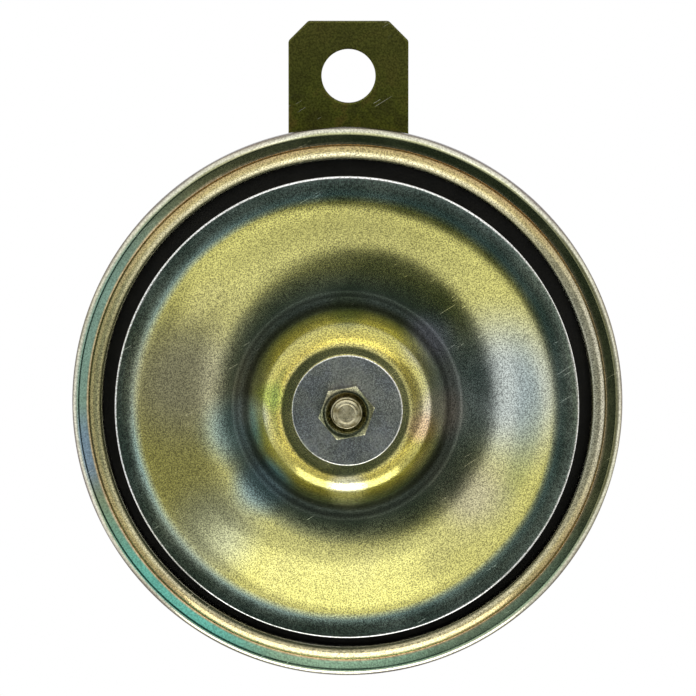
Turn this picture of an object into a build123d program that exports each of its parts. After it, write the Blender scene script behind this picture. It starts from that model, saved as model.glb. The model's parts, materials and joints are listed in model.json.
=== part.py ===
from build123d import *
import os
from math import atan2, cos, degrees, radians, sin

# An electric disc horn. Everything is drawn in the horn's own frame, in millimetres: Z runs along
# the horn's axis towards the tone disc, Y points up the bracket, and Z = 0 is the rear face of the
# housing's rim flange. place() then turns it so that the front faces -Y and Z is up, with the
# origin in the middle of the bracket's mounting hole.

# --- Housing: one deep-drawn steel pan, folded over the rim stack ---
RIM_RADIUS = 45.0
LIP_WIDTH = 2.7  # from the rim in to the folded lip's free edge
HOUSING_SHEET = 1.0
FOLD_BEND = 0.9  # bends are given at the middle of the sheet
FLANGE_WIDTH = 5.7  # from the rim in to the pan's mouth
PAN_DEPTH = 10.0  # rear face of the flange to rear face of the pan's floor
PAN_TAPER = 2.3  # the pan narrows by this much from mouth to floor
PAN_BEND = 2.0
POT_DEPTH = 12.0  # rear face of the pan's floor to rear face of the pot
POT_DRAFT = 0.3
POT_BEND = 2.5
POT_BASE_BEND = 3.0

# --- Rim stack: gasket, diaphragm, gasket, front ring ---
GASKET_THICKNESS = 0.5
GASKET_MARGIN = 0.2  # gasket bore stands back from the ring's inner edge
DIAPHRAGM_THICKNESS = 0.4
RING_SHEET = 1.0
BEAD_WIDTH = 2.45  # from the lip's edge in to the ring's bore
RING_CREST_HEIGHT = 2.2  # crest of the bead above the ring's flange
RING_CREST_SETBACK = 0.3  # crest of the bead outside its inner edge
RING_BACK_DROP = 1.1  # the bead's rounded back falls by this much from crest to lip
RING_EDGE_ROUND = 0.35
RING_FOOT_GAP = 0.05  # the bead starts this far inside the lip's edge
RIM_CLEARANCE = 0.05

# --- Tone disc ---
DISC_SHEET = 1.2
DISC_GAP = 2.15  # open ring between the disc's edge and the ring's bore
DISC_MARGIN_HEIGHT = 12.3  # front of the flat margin
DISC_MARGIN_WIDTH = 4.8
DISC_DISH_DEPTH = 3.7  # front of the margin to the bottom of the valley
DISC_VALLEY_RADIUS = 18.0
DISC_HUB_RADIUS = 10.0  # flat land round the washer
DISC_HUB_RISE = 2.9  # land in front of the margin
DISC_EDGE_ROUND = 0.3
SHOULDER_TOP_EASE = 0.43  # how far each bend runs, as a share of the shoulder or the dish
SHOULDER_FOOT_EASE = 0.28
DISH_FOOT_EASE = 0.6
DISH_RIM_EASE = 0.1

# --- Armature and its fastenings ---
STROKE = 0.6  # travel of the armature when the coil pulls it in
RESIDUAL_GAP = 0.3  # armature to core at the end of the stroke
CORE_SHARE = 0.35  # core and armature radius, as a share of the bobbin's
CORE_LENGTH = 14.0
STEM_RADIUS = 4.0
STEM_UPPER_RADIUS = 3.5
STUD_RADIUS = 2.5
STUD_PROUD = 1.0  # end of the stud beyond the nut
STUD_END_ROUND = 0.6
PUSHER_RADIUS = 13.5
PUSHER_THICKNESS = 1.2
PUSHER_TO_DIAPHRAGM = 4.1  # rear face of the pusher collar to the diaphragm
CLAMP_WASHER_RADIUS = 11.0
CLAMP_WASHER_THICKNESS = 0.8
CLAMP_NUT_FLATS = 13.0
CLAMP_NUT_HEIGHT = 3.5
DISC_WASHER_RADIUS = 9.0
DISC_WASHER_THICKNESS = 1.0
DISC_WASHER_OFFSET = 0.1  # the washer sits off centre by its play on the stud
DISC_WASHER_CHAMFER = 0.15
DISC_NUT_FLATS = 8.0
DISC_NUT_HEIGHT = 4.0
DISC_NUT_TURN = 10.0
DISC_NUT_SINK = 0.8  # countersink at the mouth of the nut's thread
FASTENER_PLAY = 0.05
WASHER_PLAY = 0.15

# --- Coil ---
BOBBIN_WALL = 1.0
BOBBIN_TO_POT = 1.0  # room between the bobbin's flange and the pot's wall
BOBBIN_LENGTH = 12.4
BOBBIN_PLAY = 0.2
WINDING_MARGIN = 1.2  # last layer below the bobbin's flange edge
WINDING_PLAY = 0.03  # insulating tape between the drum and the first layer
WIRE_RADIUS = 0.35
WIRE_EXIT_INSET = 2.2  # leads come up this far in from the bobbin's flange edge
WIRE_HEIGHT = 3.4  # leads run this far in front of the pan's floor
WIRE_BEND = 0.9
RETAINER_THICKNESS = 0.6
RETAINER_TEETH = 6
RETAINER_WIDTH = 5.0  # core to the retainer's outer edge
RETAINER_SLOT = 2.0
RETAINER_PLAY = 0.02

# --- Contact breaker, on a plate that the adjusting screw bears on ---
BREAKER_INSET = 5.0  # rivets in from the corner of the pan's floor
BREAKER_RIVET_SPACING = 7.2
BREAKER_RIVET_RADIUS = 1.25
BREAKER_HEAD_RADIUS = 2.1
BREAKER_HEAD_HEIGHT = 0.8
RIVET_HEAD_TAPER = 0.4
RIVET_HEAD_EDGE = 0.3
BREAKER_STACK_WIDTH = 11.0
BREAKER_STACK_LENGTH = 4.8
BREAKER_PAD_THICKNESS = 1.4
BREAKER_PLATE_THICKNESS = 1.2
BREAKER_PLATE_MARGIN = 1.3  # free end of the plate beyond the adjusting screw
BREAKER_PLATE_ROUND = 2.2
ARM_THICKNESS = 0.4
ARM_WIDTH = 6.0
ARM_LAP = 1.7  # the arm's tip lies this far under the pusher collar
ARM_PLAY = 0.1  # each side of the arm in its clamped slot
PUSHER_GAP = 0.05
BAR_THICKNESS = 0.8
BAR_WIDTH = 7.0
BAR_MARGIN = 0.25  # free end of the bar beyond the contact
CONTACT_TO_RIVETS = 10.0
CONTACT_RADIUS = 1.75
CONTACT_HEIGHT = 0.8
CONTACT_GAP = 0.05
TAG_REACH = 3.2
TAG_WIDTH = 3.0
BUSH_WALL = 0.7
BUSH_PLAY = 0.2

# --- Adjusting screw in a clinched nut ---
SCREW_TO_RIVETS = 4.7
SCREW_RADIUS = 2.0
SCREW_PROUD = 5.0  # slotted end beyond the nut
SCREW_SLOT_WIDTH = 0.9
SCREW_SLOT_DEPTH = 1.4
SCREW_TIP_GAP = 0.05
SCREW_END_CHAMFER = 0.35
CLINCH_RADIUS = 3.1
CLINCH_HEIGHT = 2.4
NUT_TO_POT = 0.2  # room between the clinched nut and the bend at the foot of the pot

# --- Blade terminals on a moulded base ---
TERMINAL_INSET = 6.6  # rivets in from the corner of the pan's floor
TERMINAL_SPREAD = 28.0  # degrees between the two terminals
TERMINAL_BASE_LENGTH = 22.0
TERMINAL_BASE_WIDTH = 8.0
TERMINAL_BASE_HEIGHT = 3.0
TERMINAL_BASE_ROUND = 2.0
TERMINAL_BACKING_HEIGHT = 1.4
BLADE_WIDTH = 6.3
BLADE_THICKNESS = 0.8
BLADE_FOOT = 7.0
BLADE_REACH = 8.5
BLADE_BEND = 0.8
BLADE_TIP_CHAMFER = 1.2
BLADE_HOLE_RADIUS = 0.9
TERMINAL_RIVET_RADIUS = 1.25
TERMINAL_HEAD_RADIUS = 2.0
TERMINAL_HEAD_HEIGHT = 0.9

# --- Bracket and its fastening on the core's stud ---
BRACKET_WIDTH = 20.0
BRACKET_THICKNESS = 2.0
MOUNT_HOLE_RADIUS = 4.5
MOUNT_HOLE_HEIGHT = 52.0  # above the horn's axis
BRACKET_TOP = 9.15  # edge above the mounting hole's centre
BRACKET_CHAMFER = 3.3
BRACKET_EDGE_BREAK = 0.25
BACK_STUD_RADIUS = 4.0
LOCK_WASHER_RADIUS = 6.9
LOCK_WASHER_THICKNESS = 2.0
LOCK_WASHER_SLIT = 1.4
LOCK_WASHER_TURN = -60.0
BACK_NUT_FLATS = 13.0
BACK_NUT_HEIGHT = 5.0
BACK_NUT_TURN = 17.0
BACK_STUD_PROUD = 1.2
NUT_SINK = 0.5

# --- Radii and places in plan, worked out from the sizes above ---
lip_edge_radius = RIM_RADIUS - LIP_WIDTH
ring_inner_radius = lip_edge_radius - BEAD_WIDTH
disc_radius = ring_inner_radius - DISC_GAP
flange_inner_radius = RIM_RADIUS - FLANGE_WIDTH
pan_floor_radius = flange_inner_radius - PAN_TAPER
stack_radius = RIM_RADIUS - HOUSING_SHEET / 2 - FOLD_BEND - RIM_CLEARANCE
breaker_rivet_x = pan_floor_radius - BREAKER_INSET
stack_inner_x = breaker_rivet_x - BREAKER_STACK_LENGTH / 2
stack_outer_x = breaker_rivet_x + BREAKER_STACK_LENGTH / 2
rivet_y = BREAKER_RIVET_SPACING / 2
screw_x = breaker_rivet_x - SCREW_TO_RIVETS
pot_radius = screw_x - CLINCH_RADIUS - NUT_TO_POT - POT_BEND + HOUSING_SHEET / 2
bobbin_radius = pot_radius - HOUSING_SHEET - BOBBIN_TO_POT
wire_exit_radius = bobbin_radius - WIRE_EXIT_INSET
core_radius = CORE_SHARE * bobbin_radius
retainer_radius = core_radius + RETAINER_WIDTH
plate_end_x = screw_x - SCREW_RADIUS - BREAKER_PLATE_MARGIN
contact_x = breaker_rivet_x - CONTACT_TO_RIVETS
bar_end_x = contact_x - CONTACT_RADIUS - BAR_MARGIN
bush_radius = BREAKER_RIVET_RADIUS + BUSH_WALL
bush_hole_radius = bush_radius + BUSH_PLAY
tag_y = BREAKER_STACK_WIDTH / 2 + TAG_REACH / 2
terminal_orbit = pan_floor_radius - TERMINAL_INSET
terminal_angles = (-90 - TERMINAL_SPREAD / 2, -90 + TERMINAL_SPREAD / 2)

# --- Levels along the axis, worked out from the sizes above ---
flange_front = HOUSING_SHEET
diaphragm_rear = flange_front + GASKET_THICKNESS
diaphragm_front = diaphragm_rear + DIAPHRAGM_THICKNESS
ring_rear = diaphragm_front + GASKET_THICKNESS
ring_front = ring_rear + RING_SHEET
floor_rear = -PAN_DEPTH
floor_front = floor_rear + HOUSING_SHEET
pot_rear = floor_rear - POT_DEPTH
pot_front = pot_rear + HOUSING_SHEET
core_front = pot_front + CORE_LENGTH
armature_rear = core_front + RESIDUAL_GAP + STROKE
shoulder = diaphragm_rear - CLAMP_WASHER_THICKNESS
pusher_rear = diaphragm_rear - PUSHER_TO_DIAPHRAGM
clamp_nut_rear = diaphragm_front + CLAMP_WASHER_THICKNESS
clamp_nut_front = clamp_nut_rear + CLAMP_NUT_HEIGHT
hub_front = DISC_MARGIN_HEIGHT + DISC_HUB_RISE
hub_rear = hub_front - DISC_SHEET
valley_front = DISC_MARGIN_HEIGHT - DISC_DISH_DEPTH
disc_nut_rear = hub_front + DISC_WASHER_THICKNESS
stud_front = disc_nut_rear + DISC_NUT_HEIGHT + STUD_PROUD
bobbin_front = pot_front + BOBBIN_LENGTH
plate_rear = floor_front + BREAKER_PAD_THICKNESS
plate_front = plate_rear + BREAKER_PLATE_THICKNESS
arm_front = pusher_rear - PUSHER_GAP
arm_rear = arm_front - ARM_THICKNESS
bar_rear = arm_front + 2 * CONTACT_HEIGHT
bar_front = bar_rear + BAR_THICKNESS
wire_level = floor_front + WIRE_HEIGHT
bracket_rear = pot_rear - BRACKET_THICKNESS
lock_washer_rear = bracket_rear - LOCK_WASHER_THICKNESS
back_nut_rear = lock_washer_rear - BACK_NUT_HEIGHT
bracket_middle = pot_rear - BRACKET_THICKNESS / 2


def place(shape):
    """Turn the horn's frame into the finished part's frame, with the origin in the mounting hole."""
    return Pos(0, bracket_middle, -MOUNT_HOLE_HEIGHT) * Rot(90, 0, 0) * shape


def turned(*outline):
    """Revolve a closed outline, given as (radius, height) corners, about the horn's axis."""
    return revolve(Plane.XZ * make_face(Polyline(*outline, close=True)), Axis.Z, 360)


def pressed(path, sheet):
    """Revolve a sheet of even thickness that follows a path of (radius, height) at its middle."""
    return revolve(Plane.XZ * trace(path, line_width=sheet), Axis.Z, 360)


def ring(outer, inner, low, high):
    """A flat ring or sleeve between two heights."""
    return Pos(0, 0, low) * extrude(Circle(outer) - Circle(inner), high - low)


def slab(x_low, x_high, width, low, high, y=0.0):
    """A flat rectangular piece, centred on y."""
    sheet = Rectangle(x_high - x_low, width)
    return Pos((x_low + x_high) / 2, y, low) * extrude(sheet, high - low)


def pin(x, y, radius, low, high):
    """A round shank or hole along the axis."""
    return Pos(x, y, low) * extrude(Circle(radius), high - low)


def around(radius, angle):
    """A place on a circle round the axis, by its angle from +X in degrees."""
    return radius * cos(radians(angle)), radius * sin(radians(angle))


def hex_nut(flats, height, bore, sink):
    """A hexagon nut with chamfered corners and a countersunk thread at both mouths."""
    corner = flats / 2 / cos(radians(30))
    drop = (corner - flats / 2) / 2
    body = extrude(RegularPolygon(flats / 2, 6, major_radius=False), height)
    cone = turned(
        (0, 0),
        (flats / 2, 0),
        (corner, drop),
        (corner, height - drop),
        (flats / 2, height),
        (0, height),
    )
    hole = turned(
        (0, 0),
        (bore + sink, 0),
        (bore, sink),
        (bore, height - sink),
        (bore + sink, height),
        (0, height),
    )
    return (body & cone) - hole


def wire(*points):
    """A round wire along straight runs joined by bends."""
    path = FilletPolyline(*points, radius=WIRE_BEND)
    section = Plane(path @ 0, z_dir=path % 0) * Circle(WIRE_RADIUS)
    return sweep(section, path)


# --- Housing and rim stack ---


def make_housing():
    middle = HOUSING_SHEET / 2
    path = FilletPolyline(
        (lip_edge_radius, ring_front + middle),
        (RIM_RADIUS - middle, ring_front + middle),
        (RIM_RADIUS - middle, middle),
        (flange_inner_radius, middle),
        (pan_floor_radius, floor_rear + middle),
        (pot_radius - middle, floor_rear + middle),
        (pot_radius - middle - POT_DRAFT, pot_rear + middle),
        (BACK_STUD_RADIUS + FASTENER_PLAY, pot_rear + middle),
        radius=[FOLD_BEND, FOLD_BEND, PAN_BEND, PAN_BEND, POT_BEND, POT_BASE_BEND],
    )
    shell = pressed(path, HOUSING_SHEET)
    for side in (-1, 1):
        shell -= pin(
            breaker_rivet_x,
            side * rivet_y,
            BREAKER_RIVET_RADIUS + FASTENER_PLAY,
            floor_rear - 1,
            floor_front + 1,
        )
    for angle in terminal_angles:
        x, y = around(terminal_orbit, angle)
        bush = TERMINAL_RIVET_RADIUS + BUSH_WALL + FASTENER_PLAY
        shell -= pin(x, y, bush, floor_rear - 1, floor_front + 1)
    shell -= pin(screw_x, 0, SCREW_RADIUS + FASTENER_PLAY, floor_rear - 1, floor_front + 1)
    return shell


def make_front_ring():
    """The clamp ring: a flat flange whose inner edge is drawn up into a bead and hemmed shut."""
    crest = ring_front + RING_CREST_HEIGHT
    crest_radius = ring_inner_radius + RING_CREST_SETBACK
    foot_radius = lip_edge_radius - RING_FOOT_GAP
    run = foot_radius - crest_radius
    back_round = (run**2 + RING_BACK_DROP**2) / (2 * RING_BACK_DROP)
    half_turn = atan2(run, back_round - RING_BACK_DROP) / 2
    back = ThreePointArc(
        (foot_radius, crest - RING_BACK_DROP),
        (crest_radius + back_round * sin(half_turn), crest - back_round * (1 - cos(half_turn))),
        (crest_radius, crest),
    )
    roll = Bezier(
        (crest_radius, crest),
        (ring_inner_radius + 0.3 * RING_CREST_SETBACK, crest),
        (ring_inner_radius, crest - 0.4 * RING_EDGE_ROUND),
        (ring_inner_radius, crest - RING_EDGE_ROUND),
    )
    rest = Polyline(
        (ring_inner_radius, crest - RING_EDGE_ROUND),
        (ring_inner_radius, ring_rear),
        (stack_radius, ring_rear),
        (stack_radius, ring_front),
        (foot_radius, ring_front),
        (foot_radius, crest - RING_BACK_DROP),
    )
    return revolve(Plane.XZ * make_face([back, roll, rest]), Axis.Z, 360)


def make_gasket(low):
    return ring(stack_radius, ring_inner_radius + GASKET_MARGIN, low, low + GASKET_THICKNESS)


def make_diaphragm():
    return ring(stack_radius, STEM_RADIUS + FASTENER_PLAY, diaphragm_rear, diaphragm_front)


# --- Tone disc ---


def make_tone_disc():
    """A pressed disc: a flat hub, a steep shoulder, a round valley and a dish out to the margin."""
    dish_edge = disc_radius - DISC_MARGIN_WIDTH
    shoulder_run = DISC_VALLEY_RADIUS - DISC_HUB_RADIUS
    dish_run = dish_edge - DISC_VALLEY_RADIUS
    bore = STUD_RADIUS + FASTENER_PLAY

    def skin(drop):
        """One face of the sheet, lowered by drop, from the bore out to the margin."""
        top, low, rim = hub_front - drop, valley_front - drop, DISC_MARGIN_HEIGHT - drop
        return [
            Line((bore, top), (DISC_HUB_RADIUS, top)),
            Bezier(
                (DISC_HUB_RADIUS, top),
                (DISC_HUB_RADIUS + SHOULDER_TOP_EASE * shoulder_run, top),
                (DISC_VALLEY_RADIUS - SHOULDER_FOOT_EASE * shoulder_run, low),
                (DISC_VALLEY_RADIUS, low),
            ),
            Bezier(
                (DISC_VALLEY_RADIUS, low),
                (DISC_VALLEY_RADIUS + DISH_FOOT_EASE * dish_run, low),
                (dish_edge - DISH_RIM_EASE * dish_run, rim),
                (dish_edge, rim),
            ),
        ]

    dish_rear = DISC_MARGIN_HEIGHT - DISC_SHEET
    front_edge = [
        Line((dish_edge, DISC_MARGIN_HEIGHT), (disc_radius - DISC_EDGE_ROUND, DISC_MARGIN_HEIGHT)),
        ThreePointArc(
            (disc_radius - DISC_EDGE_ROUND, DISC_MARGIN_HEIGHT),
            (
                disc_radius - DISC_EDGE_ROUND * (1 - cos(radians(45))),
                DISC_MARGIN_HEIGHT - DISC_EDGE_ROUND * (1 - cos(radians(45))),
            ),
            (disc_radius, DISC_MARGIN_HEIGHT - DISC_EDGE_ROUND),
        ),
        Line((disc_radius, DISC_MARGIN_HEIGHT - DISC_EDGE_ROUND), (disc_radius, dish_rear)),
        Line((disc_radius, dish_rear), (dish_edge, dish_rear)),
    ]
    bore_wall = Line((bore, hub_front), (bore, hub_rear))
    section = make_face([*skin(0), *front_edge, *skin(DISC_SHEET), bore_wall])
    return revolve(Plane.XZ * section, Axis.Z, 360)


def make_disc_washer():
    flat = Circle(DISC_WASHER_RADIUS) - Circle(STUD_RADIUS + WASHER_PLAY)
    washer = extrude(flat, DISC_WASHER_THICKNESS)
    rims = washer.edges().filter_by(GeomType.CIRCLE).group_by(Axis.Z)[-1].sort_by(SortBy.RADIUS)
    washer = chamfer(rims[-1], DISC_WASHER_CHAMFER)
    return Pos(DISC_WASHER_OFFSET, 0, hub_front) * washer


def make_disc_nut():
    nut = hex_nut(DISC_NUT_FLATS, DISC_NUT_HEIGHT, STUD_RADIUS + FASTENER_PLAY, DISC_NUT_SINK)
    return Pos(0, 0, disc_nut_rear) * Rot(0, 0, DISC_NUT_TURN) * nut


# --- Armature ---


def make_armature():
    """One turned piece: slug, pusher collar, threaded stem and the stud that holds the tone disc."""
    pusher_front = pusher_rear + PUSHER_THICKNESS
    return turned(
        (0, armature_rear),
        (core_radius, armature_rear),
        (core_radius, pusher_rear),
        (PUSHER_RADIUS, pusher_rear),
        (PUSHER_RADIUS, pusher_front),
        (core_radius, pusher_front),
        (core_radius, shoulder),
        (STEM_RADIUS, shoulder),
        (STEM_RADIUS, clamp_nut_front),
        (STEM_UPPER_RADIUS, clamp_nut_front + (STEM_RADIUS - STEM_UPPER_RADIUS)),
        (STEM_UPPER_RADIUS, hub_rear),
        (STUD_RADIUS, hub_rear),
        (STUD_RADIUS, stud_front - STUD_END_ROUND),
        (STUD_RADIUS - STUD_END_ROUND, stud_front),
        (0, stud_front),
    )


def make_clamp_washer(low):
    return ring(CLAMP_WASHER_RADIUS, STEM_RADIUS + FASTENER_PLAY, low, low + CLAMP_WASHER_THICKNESS)


def make_clamp_nut():
    nut = hex_nut(CLAMP_NUT_FLATS, CLAMP_NUT_HEIGHT, STEM_RADIUS + FASTENER_PLAY, NUT_SINK)
    return Pos(0, 0, clamp_nut_rear) * nut


# --- Coil ---


def lead_exits():
    """Angles at which the coil's two leads leave: one to a terminal, one to the breaker's arm."""
    return terminal_angles[0], degrees(atan2(tag_y, breaker_rivet_x))


def make_core():
    """Fixed core, with the shank that passes through the pot and carries the bracket."""
    stud_end = back_nut_rear - BACK_STUD_PROUD
    return turned(
        (0, stud_end),
        (BACK_STUD_RADIUS - NUT_SINK, stud_end),
        (BACK_STUD_RADIUS, stud_end + NUT_SINK),
        (BACK_STUD_RADIUS, pot_front),
        (core_radius, pot_front),
        (core_radius, core_front),
        (0, core_front),
    )


def make_bobbin():
    bore = core_radius + BOBBIN_PLAY
    spool = turned(
        (bore, pot_front),
        (bobbin_radius - POT_BASE_BEND, pot_front),
        (bobbin_radius - POT_BASE_BEND, pot_front + BOBBIN_WALL),
        (bore + BOBBIN_WALL, pot_front + BOBBIN_WALL),
        (bore + BOBBIN_WALL, bobbin_front - BOBBIN_WALL),
        (bobbin_radius, bobbin_front - BOBBIN_WALL),
        (bobbin_radius, bobbin_front),
        (bore, bobbin_front),
    )
    for angle in lead_exits():
        x, y = around(wire_exit_radius, angle)
        spool -= pin(x, y, 2 * WIRE_RADIUS, bobbin_front - 2 * BOBBIN_WALL, bobbin_front + 1)
    return spool


def make_winding():
    """The wound copper, with its two lead tails."""
    inner = core_radius + BOBBIN_PLAY + BOBBIN_WALL + WINDING_PLAY
    low = pot_front + BOBBIN_WALL
    high = bobbin_front - BOBBIN_WALL
    outer = bobbin_radius - WINDING_MARGIN
    lower_outer = bobbin_radius - POT_BASE_BEND
    winding = turned(
        (inner, low), (lower_outer, low), (outer, low + outer - lower_outer), (outer, high), (inner, high)
    )
    to_terminal, to_arm = lead_exits()
    start = around(wire_exit_radius, to_terminal)
    end = around(terminal_orbit, to_terminal)
    rivet_top = floor_front + TERMINAL_BACKING_HEIGHT + TERMINAL_HEAD_HEIGHT
    winding += wire(
        (*start, high - 2 * WIRE_RADIUS), (*start, wire_level), (*end, wire_level), (*end, rivet_top)
    )
    start = around(wire_exit_radius, to_arm)
    end = (breaker_rivet_x, tag_y)
    winding += wire(
        (*start, high - 2 * WIRE_RADIUS),
        (*start, wire_level),
        (*end, wire_level),
        (*end, arm_rear - ARM_PLAY),
    )
    return winding


def make_coil_retainer():
    """A toothed spring ring pushed down the core onto the bobbin."""
    clip = ring(retainer_radius, core_radius + RETAINER_PLAY, bobbin_front, bobbin_front + RETAINER_THICKNESS)
    slot_middle = (core_radius + retainer_radius) / 2 - RETAINER_SLOT
    for index in range(RETAINER_TEETH):
        notch = slab(
            0,
            slot_middle,
            RETAINER_SLOT / 2,
            bobbin_front - 1,
            bobbin_front + RETAINER_THICKNESS + 1,
        )
        clip -= Rot(0, 0, (index + 0.5) * 360 / RETAINER_TEETH) * notch
    return clip


# --- Contact breaker ---


def breaker_block(low, high):
    """One insulator of the riveted stack, with holes for the two rivets."""
    block = slab(stack_inner_x, stack_outer_x, BREAKER_STACK_WIDTH, low, high)
    return drilled(block, BREAKER_RIVET_RADIUS + FASTENER_PLAY, low, high)


def drilled(shape, radius, low, high):
    """Cut the two rivet holes."""
    for side in (-1, 1):
        shape -= pin(breaker_rivet_x, side * rivet_y, radius, low - 1, high + 1)
    return shape


def bushes(low, high):
    """The two sleeves that keep the rivets clear of a live strip."""
    sleeves = []
    for side in (-1, 1):
        sleeve = ring(bush_radius, BREAKER_RIVET_RADIUS + FASTENER_PLAY, low, high)
        sleeves.append(Pos(breaker_rivet_x, side * rivet_y, 0) * sleeve)
    return sleeves


def make_insulator_pad():
    return breaker_block(floor_front, plate_rear)


def make_insulator_spacer():
    """The thick insulator under the arm; its bushes pass through the arm."""
    top = arm_rear - ARM_PLAY
    spacer = breaker_block(plate_front, top)
    for sleeve in bushes(top, arm_front + ARM_PLAY):
        spacer += sleeve
    return spacer


def make_insulator_cap():
    """The insulator between the arm and the fixed bar; its bushes pass through the bar."""
    cap = breaker_block(arm_front + ARM_PLAY, bar_rear)
    for sleeve in bushes(bar_rear, bar_front):
        cap += sleeve
    return cap


def make_breaker_plate():
    """The steel plate that the adjusting screw bends to set the contacts."""
    plate = slab(plate_end_x, stack_outer_x, BREAKER_STACK_WIDTH, plate_rear, plate_front)
    corners = plate.edges().filter_by(Axis.Z).group_by(Axis.X)[0]
    plate = fillet(corners, min(BREAKER_PLATE_ROUND, BREAKER_STACK_WIDTH / 3))
    return drilled(plate, BREAKER_RIVET_RADIUS + FASTENER_PLAY, plate_rear, plate_front)


def make_contact_arm():
    """The spring leaf: clamped at its root, with its tip under the armature's pusher collar."""
    arm = slab(PUSHER_RADIUS - ARM_LAP, stack_inner_x, ARM_WIDTH, arm_rear, arm_front)
    arm += slab(stack_inner_x, stack_outer_x, BREAKER_STACK_WIDTH, arm_rear, arm_front)
    arm += slab(
        breaker_rivet_x - TAG_WIDTH / 2,
        breaker_rivet_x + TAG_WIDTH / 2,
        TAG_REACH,
        arm_rear,
        arm_front,
        tag_y,
    )
    return drilled(arm, bush_hole_radius, arm_rear, arm_front)


def make_fixed_bar():
    """The rigid bar that carries the fixed contact, with its own solder tag."""
    bar = slab(bar_end_x, stack_outer_x, BAR_WIDTH, bar_rear, bar_front)
    bar += slab(stack_inner_x, stack_outer_x, BREAKER_STACK_WIDTH, bar_rear, bar_front)
    bar += slab(
        breaker_rivet_x - TAG_WIDTH / 2,
        breaker_rivet_x + TAG_WIDTH / 2,
        TAG_REACH,
        bar_rear,
        bar_front,
        -tag_y,
    )
    return drilled(bar, bush_radius + FASTENER_PLAY, bar_rear, bar_front)


def make_moving_contact():
    return pin(contact_x, 0, CONTACT_RADIUS, arm_front, arm_front + CONTACT_HEIGHT - CONTACT_GAP)


def make_fixed_contact():
    return pin(contact_x, 0, CONTACT_RADIUS, arm_front + CONTACT_HEIGHT, bar_rear)


def make_breaker_rivets():
    """Two rivets through the whole stack and the pan's floor."""
    rivets = []
    for side in (-1, 1):
        rivet = turned(
            (0, floor_rear - BREAKER_HEAD_HEIGHT),
            (BREAKER_HEAD_RADIUS - RIVET_HEAD_TAPER, floor_rear - BREAKER_HEAD_HEIGHT),
            (BREAKER_HEAD_RADIUS, floor_rear - RIVET_HEAD_EDGE),
            (BREAKER_HEAD_RADIUS, floor_rear),
            (BREAKER_RIVET_RADIUS, floor_rear),
            (BREAKER_RIVET_RADIUS, bar_front),
            (BREAKER_HEAD_RADIUS, bar_front),
            (BREAKER_HEAD_RADIUS - RIVET_HEAD_TAPER, bar_front + BREAKER_HEAD_HEIGHT),
            (0, bar_front + BREAKER_HEAD_HEIGHT),
        )
        rivets.append(Pos(breaker_rivet_x, side * rivet_y, 0) * rivet)
    return Compound(children=rivets)


def make_contact_lead():
    """The wire from the fixed bar's tag round the pan to the second terminal."""
    rivet_top = floor_front + TERMINAL_BACKING_HEIGHT + TERMINAL_HEAD_HEIGHT
    end = around(terminal_orbit, terminal_angles[1])
    corner = around(terminal_orbit, terminal_angles[1] / 2)
    start = (breaker_rivet_x, -tag_y)
    return wire(
        (*start, bar_rear), (*start, wire_level), (*corner, wire_level), (*end, wire_level), (*end, rivet_top)
    )


# --- Adjusting screw ---


def make_adjusting_nut():
    body = ring(CLINCH_RADIUS, SCREW_RADIUS + FASTENER_PLAY, floor_rear - CLINCH_HEIGHT, floor_rear)
    return Pos(screw_x, 0, 0) * body


def make_adjusting_screw():
    tail = floor_rear - CLINCH_HEIGHT - SCREW_PROUD
    tip = plate_rear - SCREW_TIP_GAP
    screw = turned(
        (0, tail),
        (SCREW_RADIUS - SCREW_END_CHAMFER, tail),
        (SCREW_RADIUS, tail + SCREW_END_CHAMFER),
        (SCREW_RADIUS, tip - SCREW_END_CHAMFER),
        (SCREW_RADIUS - SCREW_END_CHAMFER, tip),
        (0, tip),
    )
    screw -= slab(
        -SCREW_RADIUS - 1, SCREW_RADIUS + 1, SCREW_SLOT_WIDTH, tail - 1, tail + SCREW_SLOT_DEPTH
    )
    return Pos(screw_x, 0, 0) * screw


# --- Terminals ---


def terminal_block(low, high):
    """A rounded insulating block across both terminals."""
    sheet = RectangleRounded(TERMINAL_BASE_LENGTH, TERMINAL_BASE_WIDTH, TERMINAL_BASE_ROUND)
    _, y = around(terminal_orbit, terminal_angles[0])
    block = Pos(0, y, low) * extrude(sheet, high - low)
    for angle in terminal_angles:
        x, y = around(terminal_orbit, angle)
        block -= pin(x, y, TERMINAL_RIVET_RADIUS + FASTENER_PLAY, low - 1, high + 1)
    return block


def make_terminal_base():
    return terminal_block(floor_rear - TERMINAL_BASE_HEIGHT, floor_rear)


def make_terminal_backing():
    """The inner insulator; its bushes fill the housing's holes round the rivets."""
    backing = terminal_block(floor_front, floor_front + TERMINAL_BACKING_HEIGHT)
    for angle in terminal_angles:
        x, y = around(terminal_orbit, angle)
        bush = ring(
            TERMINAL_RIVET_RADIUS + BUSH_WALL,
            TERMINAL_RIVET_RADIUS + FASTENER_PLAY,
            floor_rear,
            floor_front,
        )
        backing += Pos(x, y, 0) * bush
    return backing


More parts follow.
